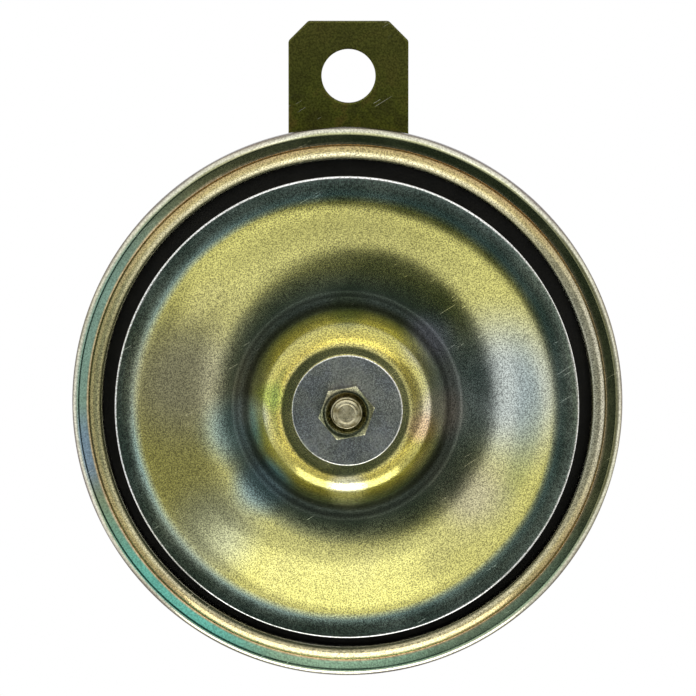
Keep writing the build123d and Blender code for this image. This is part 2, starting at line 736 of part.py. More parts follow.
def make_blade(angle):
    """An L-shaped blade: a foot under the rivet, and a tab standing straight back."""
    x, y = around(terminal_orbit, angle)
    foot_level = floor_rear - TERMINAL_BASE_HEIGHT - BLADE_THICKNESS / 2
    inner_end = y + BLADE_FOOT / 2
    outer_end = y - BLADE_FOOT / 2
    path = FilletPolyline(
        (inner_end, foot_level),
        (outer_end, foot_level),
        (outer_end, foot_level - BLADE_REACH),
        radius=BLADE_BEND + BLADE_THICKNESS / 2,
    )
    section = Plane.YZ * trace(path, line_width=BLADE_THICKNESS)
    blade = Pos(x - BLADE_WIDTH / 2, 0, 0) * extrude(section, BLADE_WIDTH, dir=(1, 0, 0))
    tip_corners = blade.edges().filter_by(Axis.Y).group_by(Axis.Z)[0]
    blade = chamfer(tip_corners, BLADE_TIP_CHAMFER)
    blade -= pin(x, y, TERMINAL_RIVET_RADIUS + FASTENER_PLAY, foot_level - 1, foot_level + 1)
    hole = Rot(90, 0, 0) * extrude(Circle(BLADE_HOLE_RADIUS), BLADE_THICKNESS, both=True)
    return blade - Pos(x, outer_end, foot_level - BLADE_REACH / 2 - BLADE_BEND) * hole


def make_terminal_rivets():
    """Two rivets that clamp the blades, the base, the pan's floor and the inner insulator."""
    outer = floor_rear - TERMINAL_BASE_HEIGHT - BLADE_THICKNESS
    inner = floor_front + TERMINAL_BACKING_HEIGHT
    rivets = []
    for angle in terminal_angles:
        x, y = around(terminal_orbit, angle)
        rivet = turned(
            (0, outer - TERMINAL_HEAD_HEIGHT),
            (TERMINAL_HEAD_RADIUS - RIVET_HEAD_TAPER, outer - TERMINAL_HEAD_HEIGHT),
            (TERMINAL_HEAD_RADIUS, outer - RIVET_HEAD_EDGE),
            (TERMINAL_HEAD_RADIUS, outer),
            (TERMINAL_RIVET_RADIUS, outer),
            (TERMINAL_RIVET_RADIUS, inner),
            (TERMINAL_HEAD_RADIUS, inner),
            (TERMINAL_HEAD_RADIUS, inner + TERMINAL_HEAD_HEIGHT),
            (0, inner + TERMINAL_HEAD_HEIGHT),
        )
        rivets.append(Pos(x, y, 0) * rivet)
    return Compound(children=rivets)


# --- Bracket ---


def make_bracket():
    """A straight steel strip: round at the horn's stud, chamfered above the mounting hole."""
    half = BRACKET_WIDTH / 2
    top = MOUNT_HOLE_HEIGHT + BRACKET_TOP
    outline = Polyline(
        (-half, 0),
        (-half, top - BRACKET_CHAMFER),
        (-half + BRACKET_CHAMFER, top),
        (half - BRACKET_CHAMFER, top),
        (half, top - BRACKET_CHAMFER),
        (half, 0),
    ) + ThreePointArc((half, 0), (0, -half), (-half, 0))
    strip = Pos(0, 0, bracket_rear) * extrude(make_face(outline), BRACKET_THICKNESS)
    rims = strip.faces().filter_by(Axis.Z).edges()
    strip = chamfer(rims, BRACKET_EDGE_BREAK)
    strip -= pin(0, MOUNT_HOLE_HEIGHT, MOUNT_HOLE_RADIUS, bracket_rear - 1, pot_rear + 1)
    return strip - pin(0, 0, BACK_STUD_RADIUS + FASTENER_PLAY, bracket_rear - 1, pot_rear + 1)


def make_lock_washer():
    washer = ring(LOCK_WASHER_RADIUS, BACK_STUD_RADIUS + WASHER_PLAY, lock_washer_rear, bracket_rear)
    slit = slab(0, LOCK_WASHER_RADIUS + 1, LOCK_WASHER_SLIT, lock_washer_rear - 1, bracket_rear + 1)
    return washer - Rot(0, 0, LOCK_WASHER_TURN) * slit


def make_back_nut():
    nut = hex_nut(BACK_NUT_FLATS, BACK_NUT_HEIGHT, BACK_STUD_RADIUS + FASTENER_PLAY, NUT_SINK)
    return Pos(0, 0, back_nut_rear) * Rot(0, 0, BACK_NUT_TURN) * nut


PARTS = {
    "housing": make_housing(),
    "front_ring": make_front_ring(),
    "rear_gasket": make_gasket(flange_front),
    "front_gasket": make_gasket(diaphragm_front),
    "diaphragm": make_diaphragm(),
    "tone_disc": make_tone_disc(),
    "disc_washer": make_disc_washer(),
    "disc_nut": make_disc_nut(),
    "armature": make_armature(),
    "clamp_washer_rear": make_clamp_washer(shoulder),
    "clamp_washer_front": make_clamp_washer(diaphragm_front),
    "clamp_nut": make_clamp_nut(),
    "core": make_core(),
    "coil_bobbin": make_bobbin(),
    "coil_winding": make_winding(),
    "coil_retainer": make_coil_retainer(),
    "insulator_pad": make_insulator_pad(),
    "insulator_spacer": make_insulator_spacer(),
    "insulator_cap": make_insulator_cap(),
    "breaker_plate": make_breaker_plate(),
    "contact_arm": make_contact_arm(),
    "moving_contact": make_moving_contact(),
    "fixed_contact": make_fixed_contact(),
    "fixed_contact_bar": make_fixed_bar(),
    "breaker_rivets": make_breaker_rivets(),
    "contact_lead": make_contact_lead(),
    "adjusting_nut": make_adjusting_nut(),
    "adjusting_screw": make_adjusting_screw(),
    "terminal_base": make_terminal_base(),
    "terminal_backing": make_terminal_backing(),
    "terminal_blade_left": make_blade(terminal_angles[0]),
    "terminal_blade_right": make_blade(terminal_angles[1]),
    "terminal_rivets": make_terminal_rivets(),
    "bracket": make_bracket(),
    "lock_washer": make_lock_washer(),
    "back_nut": make_back_nut(),
}

os.makedirs("parts", exist_ok=True)
for node, solid in PARTS.items():
    export_step(place(solid), f"parts/{node}.step")
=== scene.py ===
"""An electric disc horn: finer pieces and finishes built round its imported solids.

Lengths in the classes are millimetres. Radii are from the horn's axis, heights are above that axis, and
levels run along it, from the rear face of the rim's flange towards the tone disc.
"""

import json
import logging
import math
from dataclasses import dataclass
from enum import Enum

import bpy
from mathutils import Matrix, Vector


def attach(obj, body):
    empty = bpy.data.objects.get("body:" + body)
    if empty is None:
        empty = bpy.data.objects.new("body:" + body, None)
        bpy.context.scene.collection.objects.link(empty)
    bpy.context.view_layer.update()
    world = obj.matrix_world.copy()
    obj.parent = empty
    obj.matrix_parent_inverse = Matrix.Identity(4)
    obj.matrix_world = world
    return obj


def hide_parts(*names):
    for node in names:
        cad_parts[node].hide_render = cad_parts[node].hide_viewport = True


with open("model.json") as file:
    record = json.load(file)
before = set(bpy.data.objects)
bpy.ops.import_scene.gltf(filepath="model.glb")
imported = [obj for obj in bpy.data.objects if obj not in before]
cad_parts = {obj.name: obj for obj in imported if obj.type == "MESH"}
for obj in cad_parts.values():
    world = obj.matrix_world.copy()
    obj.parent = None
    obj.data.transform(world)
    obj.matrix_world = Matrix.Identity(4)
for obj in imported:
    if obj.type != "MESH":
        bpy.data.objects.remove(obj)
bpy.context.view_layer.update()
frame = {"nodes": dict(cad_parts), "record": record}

LOG = logging.getLogger("disc_horn")
MM = 0.001
AXIS_DROP = 52.0  # the horn's axis below the mounting hole
MID_STRIP = 23.0  # the bracket's middle behind the rim's flange
AXIS_DIRECTION = (0.0, 1.0, 0.0)
AIM_LEVEL = 10.0  # the level on the axis that lamps and cloths face
MERGE = 2e-6
FULL_TURN = 360.0
WHITE = (1.0, 1.0, 1.0)

Point = tuple[float, float]
Triple = tuple[float, float, float]
Corner = Triple
Place = Triple
Colour = Triple
Socket = bpy.types.NodeSocket
Piece = bpy.types.Object


class Body(Enum):
    """The bodies that pieces ride on."""

    HORN = "horn_body"
    STRIKER = "striker"
    ARM = "contact_arm"
    SCREW = "adjusting_screw"


class Slot(Enum):
    """The record's material slots."""

    YELLOW_ZINC = "yellow_zinc"
    BRACKET_ZINC = "bracket_zinc"
    CLEAR_ZINC = "clear_zinc"
    TURNED_STEEL = "turned_steel"
    BLACK_LACQUER = "black_lacquer"
    SPRING_STEEL = "spring_steel"
    MAGNET_STEEL = "magnet_steel"
    COPPER_WIRE = "copper_wire"
    TINNED_BRASS = "tinned_brass"
    CONTACT_ALLOY = "contact_alloy"
    BLACK_NYLON = "black_nylon"
    BROWN_FIBRE = "brown_fibre"
    GASKET_PAPER = "gasket_paper"
    LEAD_COVER = "lead_cover"


class Cut(Enum):
    """How a second body shapes a first one."""

    KEEP_COMMON = "INTERSECT"
    TAKE_AWAY = "DIFFERENCE"


# --- Drawing and turning ---


def spot(across: float, height: float, level: float) -> Vector:
    """A place in the shared frame, in metres; across is to the right of the axis, seen from the front."""
    return Vector((across, -(level + MID_STRIP), height - AXIS_DROP)) * MM


def around(radius: float, angle: float) -> Point:
    """A place on a circle round the axis, by its angle from the right in degrees."""
    return radius * math.cos(math.radians(angle)), radius * math.sin(math.radians(angle))


def soften(corners: list[Corner], arc_step: float = 9.0) -> list[Point]:
    """Round the corners of an open line.

    Args:
        corners: Each corner's radius, level and bend radius; a bend of 0 stays sharp.
        arc_step: Degrees between the points of a bend.

    Returns:
        The points of the softened line.
    """
    points: list[Point] = []
    for index, (radius, level, bend) in enumerate(corners):
        here = Vector((radius, level))
        if bend <= 0 or index in (0, len(corners) - 1):
            points.append((radius, level))
            continue
        back = (Vector(corners[index - 1][:2]) - here).normalized()
        ahead = (Vector(corners[index + 1][:2]) - here).normalized()
        between = back.angle(ahead)
        turn = math.pi - between
        run = bend / math.tan(between / 2)
        centre = here + (back + ahead).normalized() * bend / math.sin(between / 2)
        spoke = here + back * run - centre
        sign = 1.0 if back.x * ahead.y - back.y * ahead.x < 0 else -1.0
        steps = max(2, math.ceil(math.degrees(turn) / arc_step))
        for step in range(steps + 1):
            angle = sign * turn * step / steps
            cosine, sine = math.cos(angle), math.sin(angle)
            points.append(
                (
                    centre.x + spoke.x * cosine - spoke.y * sine,
                    centre.y + spoke.x * sine + spoke.y * cosine,
                )
            )
    return points


def curve(start: Point, pull: Point, push: Point, end: Point, steps: int = 20) -> list[Point]:
    """Draw a free curve with two handles.

    Args:
        start: Where the curve starts.
        pull: The handle that the curve sets off towards.
        push: The handle that the curve arrives from.
        end: Where the curve ends.
        steps: Straight parts that it is drawn in.

    Returns:
        The points of the curve.
    """
    points = []
    for step in range(steps + 1):
        t = step / steps
        u = 1 - t
        weights = (u * u * u, 3 * u * u * t, 3 * u * t * t, t * t * t)
        knots = (start, pull, push, end)
        across, level = (sum(w * k[way] for w, k in zip(weights, knots)) for way in (0, 1))
        points.append((across, level))
    return points


def without_repeats(points: list[Point], least: float = 0.004) -> list[Point]:
    """Leave out the points that lie on their neighbour.

    Args:
        points: The points of a line.
        least: The shortest step that is kept.

    Returns:
        The points that are left.
    """
    kept = [points[0]]
    for point in points[1:]:
        if math.dist(point, kept[-1]) > least:
            kept.append(point)
    return kept


def sheet_outline(line: list[Point], thickness: float) -> list[Point]:
    """Draw a sheet of even thickness about its middle line.

    Args:
        line: The middle line.
        thickness: The sheet's thickness.

    Returns:
        The closed outline of the sheet.
    """
    line = without_repeats(line)
    left, right = [], []
    for index, point in enumerate(line):
        before, after = line[max(index - 1, 0)], line[min(index + 1, len(line) - 1)]
        along = (Vector(after) - Vector(before)).normalized() * thickness / 2
        left.append((point[0] - along.y, point[1] + along.x))
        right.append((point[0] + along.y, point[1] - along.x))
    return [*left, *reversed(right), left[0]]


@dataclass(frozen=True)
class Thread:
    """A screw thread, drawn as rings."""

    radius: float
    pitch: float
    depth: float
    flank_end: float = 0.44
    crest_end: float = 0.56
    root_start: float = 0.94

    def edge(self, low: float, high: float) -> list[Point]:
        """Draw the toothed edge of the shank.

        Args:
            low: The level that the thread starts at.
            high: The level that it ends at.

        Returns:
            The points of the edge.
        """
        count = int(abs(high - low) / self.pitch)
        step = (high - low) / count
        root = self.radius - self.depth
        edge: list[Point] = [(root, low)]
        for index in range(count):
            start = low + index * step
            edge.append((self.radius, start + self.flank_end * step))
            edge.append((self.radius, start + self.crest_end * step))
            edge.append((root, start + self.root_start * step))
            edge.append((root, start + step))
        return edge


def clear_bench() -> None:
    """Leave edit mode and let go of everything."""
    if bpy.context.object is not None and bpy.context.object.mode != "OBJECT":
        bpy.ops.object.mode_set(mode="OBJECT")
    bpy.ops.object.select_all(action="DESELECT")


def draw(name: str, places: list[Vector]) -> Piece:
    """Draw a chain of edges, and stay in edit mode with its last point chosen.

    Args:
        name: The piece's name.
        places: The points of the chain.

    Returns:
        The piece that holds the chain.
    """
    clear_bench()
    bpy.ops.mesh.primitive_plane_add(size=MM, location=(0, 0, 0))
    piece = bpy.context.object
    piece.name = piece.data.name = name
    bpy.ops.object.mode_set(mode="EDIT")
    bpy.ops.mesh.select_all(action="SELECT")
    bpy.ops.mesh.merge(type="CENTER")
    bpy.ops.transform.translate(value=places[0])
    for before, after in zip(places, places[1:]):
        bpy.ops.mesh.extrude_vertices_move(TRANSFORM_OT_translate={"value": after - before})
    return piece


def close_up() -> None:
    """Merge what lies together and turn the faces outwards, in edit mode, then leave it."""
    bpy.ops.mesh.select_all(action="SELECT")
    bpy.ops.mesh.remove_doubles(threshold=MERGE)
    bpy.ops.mesh.normals_make_consistent(inside=False)
    bpy.ops.object.mode_set(mode="OBJECT")


def lathe(name: str, outline: list[Point], steps: int, centre: Point = (0.0, 0.0)) -> Piece:
    """Turn an outline into a closed body.

    Args:
        name: The piece's name.
        outline: Radius and level of each point, either closed or with both ends on the axis.
        steps: Facets round the axis.
        centre: Across and height of the axis that it turns about.

    Returns:
        The turned piece.
    """
    outline = without_repeats(outline)
    piece = draw(name, [spot(centre[0] + radius, centre[1], level) for radius, level in outline])
    bpy.ops.mesh.select_all(action="SELECT")
    bpy.ops.mesh.spin(
        steps=steps, angle=math.radians(FULL_TURN), center=spot(*centre, 0), axis=AXIS_DIRECTION
    )
    close_up()
    return piece


def prism(name: str, outline: list[Point], low: float, high: float) -> Piece:
    """Raise a flat outline into a closed body.

    Args:
        name: The piece's name.
        outline: Across and height of each corner.
        low: The level of its rear face.
        high: The level of its front face.

    Returns:
        The piece.
    """
    places = [spot(across, height, low) for across, height in outline]
    piece = draw(name, [*places, places[0]])
    bpy.ops.mesh.select_all(action="SELECT")
    bpy.ops.mesh.remove_doubles(threshold=MERGE)
    bpy.ops.mesh.edge_face_add()
    bpy.ops.mesh.extrude_region_move(TRANSFORM_OT_translate={"value": (0, (low - high) * MM, 0)})
    close_up()
    return piece


def shape_by(piece: Piece, tool: Piece, cut: Cut) -> None:
    """Shape a piece by another body, which is used up.

    Args:
        piece: The piece that is shaped.
        tool: The body that shapes it.
        cut: What is kept.
    """
    clear_bench()
    bpy.context.view_layer.objects.active = piece
    step = piece.modifiers.new(cut.name, "BOOLEAN")
    step.operation = cut.value
    step.object = tool
    step.solver = "EXACT"
    bpy.ops.object.modifier_apply(modifier=step.name)
    bpy.data.objects.remove(tool)


def ease_edges(piece: Piece, width: float, segments: int = 2, sharper_than: float = 32.0) -> None:
    """Round the sharp edges of a piece and smooth what is left.

    Args:
        piece: The piece.
        width: The width of the rounding.
        segments: Facets across the rounding.
        sharper_than: Degrees that an edge turns by at least.
    """
    clear_bench()
    piece.select_set(True)
    bpy.context.view_layer.objects.active = piece
    step = piece.modifiers.new("ease", "BEVEL")
    step.width = width * MM
    step.segments = segments
    step.limit_method = "ANGLE"
    step.angle_limit = math.radians(sharper_than)
    step.use_clamp_overlap = True
    bpy.ops.object.modifier_apply(modifier=step.name)
    smooth(piece)


def smooth(piece: Piece, up_to: float = 35.0) -> None:
    """Shade smoothly across blunt edges and keep flats flat.

    Args:
        piece: The piece.
        up_to: Degrees that a blunt edge turns by at most.
    """
    clear_bench()
    piece.select_set(True)
    bpy.context.view_layer.objects.active = piece
    bpy.ops.object.shade_smooth_by_angle(angle=math.radians(up_to))
    even = piece.modifiers.new("flats", "WEIGHTED_NORMAL")
    even.keep_sharp = True
    bpy.ops.object.modifier_apply(modifier=even.name)


def fit(piece: Piece, body: Body, slot: Slot, material: bpy.types.Material, *nodes: str) -> None:
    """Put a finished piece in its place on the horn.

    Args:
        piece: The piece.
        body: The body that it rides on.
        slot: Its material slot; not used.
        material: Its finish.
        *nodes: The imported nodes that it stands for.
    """
    piece.data.materials.clear()
    piece.data.materials.append(material)
    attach(piece, body.value)
    if nodes:
        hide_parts(*nodes)
    LOG.info("%s rides on %s: %d faces", piece.name, body.value, len(piece.data.polygons))


# --- Finishes ---


@dataclass(frozen=True)
class Clouds:
    """A random pattern, about size millimetres across; none of it shows below low, and all above high."""

    size: float
    low: float = 0.3
    high: float = 0.7
    detail: float = 2.0
    roughness: float = 0.5
    warp: float = 0.0


GRAIN_SPAN: Point = (0.34, 0.66)  # the values that most of a grain lies between
MIX_SHARE, MIX_FIRST, MIX_SECOND, MIX_RESULT = 0, 6, 7, 2  # a mix node's sockets for colours


def fine_grain(size: float, roughness: float = 0.62) -> Clouds:
    """The pattern of grain of a size."""
    return Clouds(size, *GRAIN_SPAN, detail=2.5, roughness=roughness)


class Mixer:
    """A tree of shader nodes being put together."""

    def __init__(self, tree: bpy.types.NodeTree) -> None:
        """Start with an empty tree."""
        self.tree = tree
        self.tree.nodes.clear()

    def add(self, kind: str, **settings: object) -> bpy.types.Node:
        """Add a node.

        Args:
            kind: The node's type.
            **settings: Its settings.

        Returns:
            The node.
        """
        node = self.tree.nodes.new(kind)
        for key, value in settings.items():
            setattr(node, key, value)
        return node

    def feed(self, socket: Socket, value: object) -> None:
        """Set a socket, or link it.

        Args:
            socket: The input to feed.
            value: A number, a colour, a vector, or the output to link it to.
        """
        if isinstance(value, Socket):
            self.tree.links.new(value, socket)
        elif isinstance(value, tuple) and len(value) == 3 and socket.type == "RGBA":
            socket.default_value = (*value, 1.0)
        else:
            socket.default_value = value

    def sum(self, kind: str, first: object, second: object = 0.0, **settings: object) -> Socket:
        """Do one step of arithmetic.

        Args:
            kind: The operation.
            first: The first value.
            second: The second value.
            **settings: The node's other settings.

        Returns:
            The result.
        """
        node = self.add("ShaderNodeMath", operation=kind, **settings)
        self.feed(node.inputs[0], first)
        self.feed(node.inputs[1], second)
        return node.outputs[0]

    def pick(self, share: object, first: Socket, second: Socket) -> Socket:
        """Mix two surfaces.

        Args:
            share: The share of the second.
            first: The first surface.
            second: The second surface.

        Returns:
            The mixed surface.
        """
        node = self.add("ShaderNodeMixShader")
        for socket, value in zip(node.inputs, (share, first, second)):
            self.feed(socket, value)
        return node.outputs[0]

    def close(self, surface: Socket, kind: str = "ShaderNodeOutputMaterial") -> None:
        """Make a surface the result of the tree."""
        self.feed(self.add(kind).inputs["Surface"], surface)


class Recipe(Mixer):
    """A material being mixed."""

    def __init__(self, name: str) -> None:
        """Start an empty material that reads the piece's own coordinates.

        Args:
            name: The material's name.
        """
        self.material = bpy.data.materials.new(name)
        self.material.use_nodes = True
        super().__init__(self.material.node_tree)
        self.place = self.add("ShaderNodeTexCoord").outputs["Object"]

    def stretched(self, scale: Triple, turn: float = 0.0) -> Socket:
        """Turn and stretch the piece's coordinates.

        Args:
            scale: How many times finer the pattern gets each way.
            turn: Degrees about the line along the horn, before that.

        Returns:
            The coordinates.
        """
        turned = self.add("ShaderNodeVectorRotate", rotation_type="Y_AXIS")
        self.feed(turned.inputs["Vector"], self.place)
        self.feed(turned.inputs["Angle"], math.radians(turn))
        node = self.add("ShaderNodeMapping")
        self.feed(node.inputs["Vector"], turned.outputs["Vector"])
        self.feed(node.inputs["Scale"], scale)
        return node.outputs["Vector"]

    def noise(self, clouds: Clouds, place: Socket | None = None) -> Socket:
        """Make a random pattern.

        Args:
            clouds: What it is like.
            place: Coordinates, if not the piece's own.

        Returns:
            A value from 0 to 1.
        """
        node = self.add("ShaderNodeTexNoise")
        wants = {
            "Vector": self.place if place is None else place,
            "Scale": 1 / (clouds.size * MM),
            "Detail": clouds.detail,
            "Roughness": clouds.roughness,
            "Distortion": clouds.warp,
        }
        for key, value in wants.items():
            self.feed(node.inputs[key], value)
        return node.outputs["Fac"]

    def cloudy(
        self, clouds: Clouds, clear: float = 0.0, full: float = 1.0, place: Socket | None = None
    ) -> Socket:
        """A value that drifts from clear to full as more of a random pattern shows."""
        return self.between(self.noise(clouds, place), clouds.low, clouds.high, clear, full)

    def between(
        self, value: object, low: float, high: float, new_low: float = 0.0, new_high: float = 1.0,
        kind: str = "SMOOTHSTEP",
    ) -> Socket:
        """Stretch a value from one range to another, and hold it there.

        Args:
            value: The value.
            low: Where the old range starts.
            high: Where the old range ends.
            new_low: What it is at the start.
            new_high: What it is at the end.
            kind: How it goes from one to the other.

        Returns:
            The new value.
        """
        node = self.add("ShaderNodeMapRange", interpolation_type=kind)
        wants = {"Value": value, "From Min": low, "From Max": high, "To Min": new_low, "To Max": new_high}
        for key, number in wants.items():
            self.feed(node.inputs[key], number)
        return node.outputs["Result"]

    def uneven(self, gloss: float, drift: Point, clouds: Clouds) -> Socket:
        """A roughness that drifts between two distances from a middle one, by a pattern."""
        return self.cloudy(clouds, gloss + drift[0], gloss + drift[1])

    def ramp(self, value: object, stops: list[tuple[float, Colour]]) -> Socket:
        """Lay colours along a value.

        Args:
            value: A value from 0 to 1.
            stops: Where each colour stands, and the colour.

        Returns:
            The colour.
        """
        node = self.add("ShaderNodeValToRGB")
        self.feed(node.inputs["Fac"], value)
        ramp = node.color_ramp
        while len(ramp.elements) < len(stops):
            ramp.elements.new(0.5)
        for element, (position, colour) in zip(ramp.elements, stops):
            element.position = position
            element.color = (*colour, 1.0)
        return node.outputs["Color"]

    def blend(self, share: object, first: object, second: object, kind: str = "MIX") -> Socket:
        """Mix two colours.

        Args:
            share: The share of the second.
            first: The first colour.
            second: The second colour.
            kind: How they mix.

        Returns:
            The mixed colour.
        """
        node = self.add("ShaderNodeMix", data_type="RGBA", blend_type=kind)
        self.feed(node.inputs[MIX_SHARE], share)
        self.feed(node.inputs[MIX_FIRST], first)
        self.feed(node.inputs[MIX_SECOND], second)
        return node.outputs[MIX_RESULT]

    def speckled(self, colour: object, grain: Socket, contrast: float) -> Socket:
        """A colour made lighter and darker by a grain, by the share in contrast at most."""
        speck = self.between(grain, *GRAIN_SPAN, 1 - contrast, 1 + contrast)
        return self.blend(1.0, colour, speck, "MULTIPLY")

    def reckon(self, kind: str, first: object, second: object = (0.0, 0.0, 0.0)) -> bpy.types.Node:
        """Do one step of reckoning with vectors.

        Args:
            kind: The operation.
            first: The first vector.
            second: The second vector.

        Returns:
            The node, for its vector or its value.
        """
        node = self.add("ShaderNodeVectorMath", operation=kind)
        self.feed(node.inputs[0], first)
        self.feed(node.inputs[1], second)
        return node

    def distance(self, across: float, height: float) -> Socket:
        """Measure from a line that runs along the horn.

        Args:
            across: Where the line is, across.
            height: How high the line is.

        Returns:
            The distance in millimetres.
        """
        apart = self.reckon("SUBTRACT", self.place, spot(across, height, 0)).outputs[0]
        flat = self.reckon("MULTIPLY", apart, (1 / MM, 0, 1 / MM)).outputs[0]
        return self.reckon("LENGTH", flat).outputs["Value"]

    def bump(self, height: object, depth: float, under: object = None) -> Socket:
        """Raise the surface's normal.

        Args:
            height: The height, from 0 to 1.
            depth: Millimetres between the lowest and the highest.
            under: A normal that is raised already.

        Returns:
            The normal.
        """
        node = self.add("ShaderNodeBump")
        self.feed(node.inputs["Height"], height)
        self.feed(node.inputs["Distance"], depth * MM)
        if under is not None:
            self.feed(node.inputs["Normal"], under)
        return node.outputs["Normal"]

    def finish(self, base: object, roughness: object, normal: object, **plain: object) -> bpy.types.Material:
        """Join everything to the surface.

        Args:
            base: The colour.
            roughness: The roughness.
            normal: The normal.
            **plain: Constants on the shader itself.

        Returns:
            The material.
        """
        shader = self.add("ShaderNodeBsdfPrincipled")
        wants = {"Base Color": base, "Roughness": roughness, "Normal": normal}
        wants.update({key.replace("_", " "): value for key, value in plain.items()})
        for key, value in wants.items():
            self.feed(shader.inputs[key], value)
        self.close(shader.outputs["BSDF"])
        return self.material

    def fade_out(self, surface: Socket, reach: Socket, start: float, end: float) -> bpy.types.Material:
        """Let a surface fade to nothing.

        Args:
            surface: The surface.
            reach: How far out a point is.
            start: Where the fading starts.
            end: Where nothing is left.

        Returns:
            The material.
        """
        clear = self.add("ShaderNodeBsdfTransparent").outputs[0]
        self.close(self.pick(self.between(reach, start, end), surface, clear))
        return self.material


@dataclass(frozen=True)
class FilmAndLightPatch:
    """A soft patch of another colour, used for the film's own colour and for painted highlights and painted
    shade.
    """

    across: float
    height: float
    reach: float
    tint: Colour
    share: float = 1.0
    core: float = 0.25
    edge: float = 1.25

    def over(self, r: Recipe, colour: Socket, wander: Socket, inside: Socket) -> Socket:
        """Lay the patch over a colour.

        Args:
            r: The material.
            colour: The colour under it.
            wander: How far its outline wanders.
            inside: 1 where the piece can show it.

        Returns:
            The new colour.
        """
        away = r.sum("ADD", r.distance(self.across, self.height), wander)
        near = r.between(away, self.reach * self.core, self.reach * self.edge, self.share, 0.0)
        return r.blend(r.sum("MULTIPLY", near, inside), colour, self.tint)


@dataclass(frozen=True)
class CreaseShade:
    """A thin ring of painted shade at the foot of a shoulder, darkening the colour in the crease, where the
    plate is also made duller.
    """

    radius: float
    half_width: float
    left: float
    core: float = 0.4
    dulling: float = 0.25

    def light_left(self, r: Recipe, radius: Socket) -> Socket:
        """The share of the colour that is left at a radius."""
        off = r.sum("ABSOLUTE", r.sum("SUBTRACT", radius, self.radius))
        return r.between(off, self.core * self.half_width, self.half_width, self.left, 1.0)

    def dulled(self, r: Recipe, left: Socket) -> Socket:
        """How much rougher the plate is, where a share of the colour is left."""
        return r.between(left, self.left, 1.0, self.dulling, 0.0)


@dataclass(frozen=True)
class YellowZinc:
    """Zinc plate under a thin yellow chromate film, whose colour drifts with its thickness; its bands and
    patches mix that colour with painted highlights and painted shade.
    """

    name: str
    bands: list[tuple[float, Colour]]
    inner: float
    outer: float
    drift: tuple[Colour, ...] = ((0.52, 0.44, 0.16), (0.40, 0.46, 0.30), (0.55, 0.42, 0.34))
    drift_share: float = 0.5
    drift_clouds: Clouds = Clouds(34.0, 0.35, 0.7, detail=1.5)
    blotches: Clouds = Clouds(26.0, detail=3.0, roughness=0.6, warp=0.6)
    wander: float = 0.8
    wander_clouds: Clouds = Clouds(14.0)
    patches: tuple[FilmAndLightPatch, ...] = ()
    patch_band: Point = (0.0, 99.0)
    patch_blur: float = 0.15
    patch_wander: float = 2.0
    crease_shade: CreaseShade | None = None
    grain: float = 0.32
    grain_depth: float = 0.02
    grain_contrast: float = 0.4
    gloss: float = 0.26
    gloss_drift: Point = (-0.02, 0.03)
    gloss_clouds: Clouds = Clouds(7.0)
    edge_tint: Colour = (0.40, 0.38, 0.38)
    scratched: float = 0.25
    scratch_tint: Colour = (0.85, 0.84, 0.74)
    scratch_depth: float = 0.01
    scratch_turn: float = 32.0
    scratch_shape: Triple = (0.16, 1.0, 5.5)
    streaks: Clouds = Clouds(1.0, 0.735, 0.75, detail=1.0)
    scratched_areas: Clouds = Clouds(11.0, 0.5, 0.6, detail=1.0)

    def film(self, r: Recipe, radius: Socket, wander: Socket) -> Socket:
        """Lay the bands, which mix the film's colour with painted highlights and painted shade, and their
        slow drift.

        Args:
            r: The material.
            radius: Millimetres from the axis.
            wander: How far the bands wander.

        Returns:
            The colour.
        """
        span = self.outer - self.inner
        share = r.between(r.sum("ADD", radius, wander), self.inner, self.outer, kind="LINEAR")
        bands = r.ramp(share, [((at - self.inner) / span, tint) for at, tint in self.bands])
        last = len(self.drift) - 1
        tints = [(index / last, tint) for index, tint in enumerate(self.drift)]
        drift = r.ramp(r.cloudy(self.blotches), tints)
        return r.blend(r.cloudy(self.drift_clouds, full=self.drift_share), bands, drift)

    def scratches(self, r: Recipe) -> Socket:
        """Fine slanting scratches in a few places, as a value from 0 to 1."""
        streaks = r.cloudy(self.streaks, place=r.stretched(self.scratch_shape, self.scratch_turn))
        return r.sum("MULTIPLY", streaks, r.cloudy(self.scratched_areas))

    def mix(self) -> bpy.types.Material:
        """Mix the finish.

        Returns:
            The material.
        """
        r = Recipe(self.name)
        radius = r.distance(0, 0)
        wander = r.sum("MULTIPLY", r.sum("SUBTRACT", r.noise(self.wander_clouds), 0.5), self.wander)
        colour = self.film(r, radius, wander)
        start, end = self.patch_band
        blur = self.patch_blur
        inside = r.sum(
            "MULTIPLY",
            r.between(radius, start - blur, start + blur),
            r.between(radius, end - blur, end + blur, 1.0, 0.0),
        )
        patch_wander = r.sum("MULTIPLY", wander, self.patch_wander)
        # The patches lay film colour, painted highlights and painted shade over the bands.
        for patch in self.patches:
            colour = patch.over(r, colour, patch_wander, inside)
        rough = r.uneven(self.gloss, self.gloss_drift, self.gloss_clouds)
        # Painted shade: the colour is darkened in the crease at the shoulder's foot, and the plate is dulled
        # there.
        if self.crease_shade is not None:
            left = self.crease_shade.light_left(r, radius)
            colour = r.blend(1.0, colour, left, "MULTIPLY")
            rough = r.sum("ADD", rough, self.crease_shade.dulled(r, left))
        grain = r.noise(fine_grain(self.grain))
        colour = r.speckled(colour, grain, self.grain_contrast)
        scratch = self.scratches(r)
        colour = r.blend(r.sum("MULTIPLY", scratch, self.scratched), colour, self.scratch_tint)
        normal = r.bump(scratch, -self.scratch_depth, r.bump(grain, self.grain_depth))
        return r.finish(colour, rough, normal, Metallic=1.0, Specular_Tint=self.edge_tint)


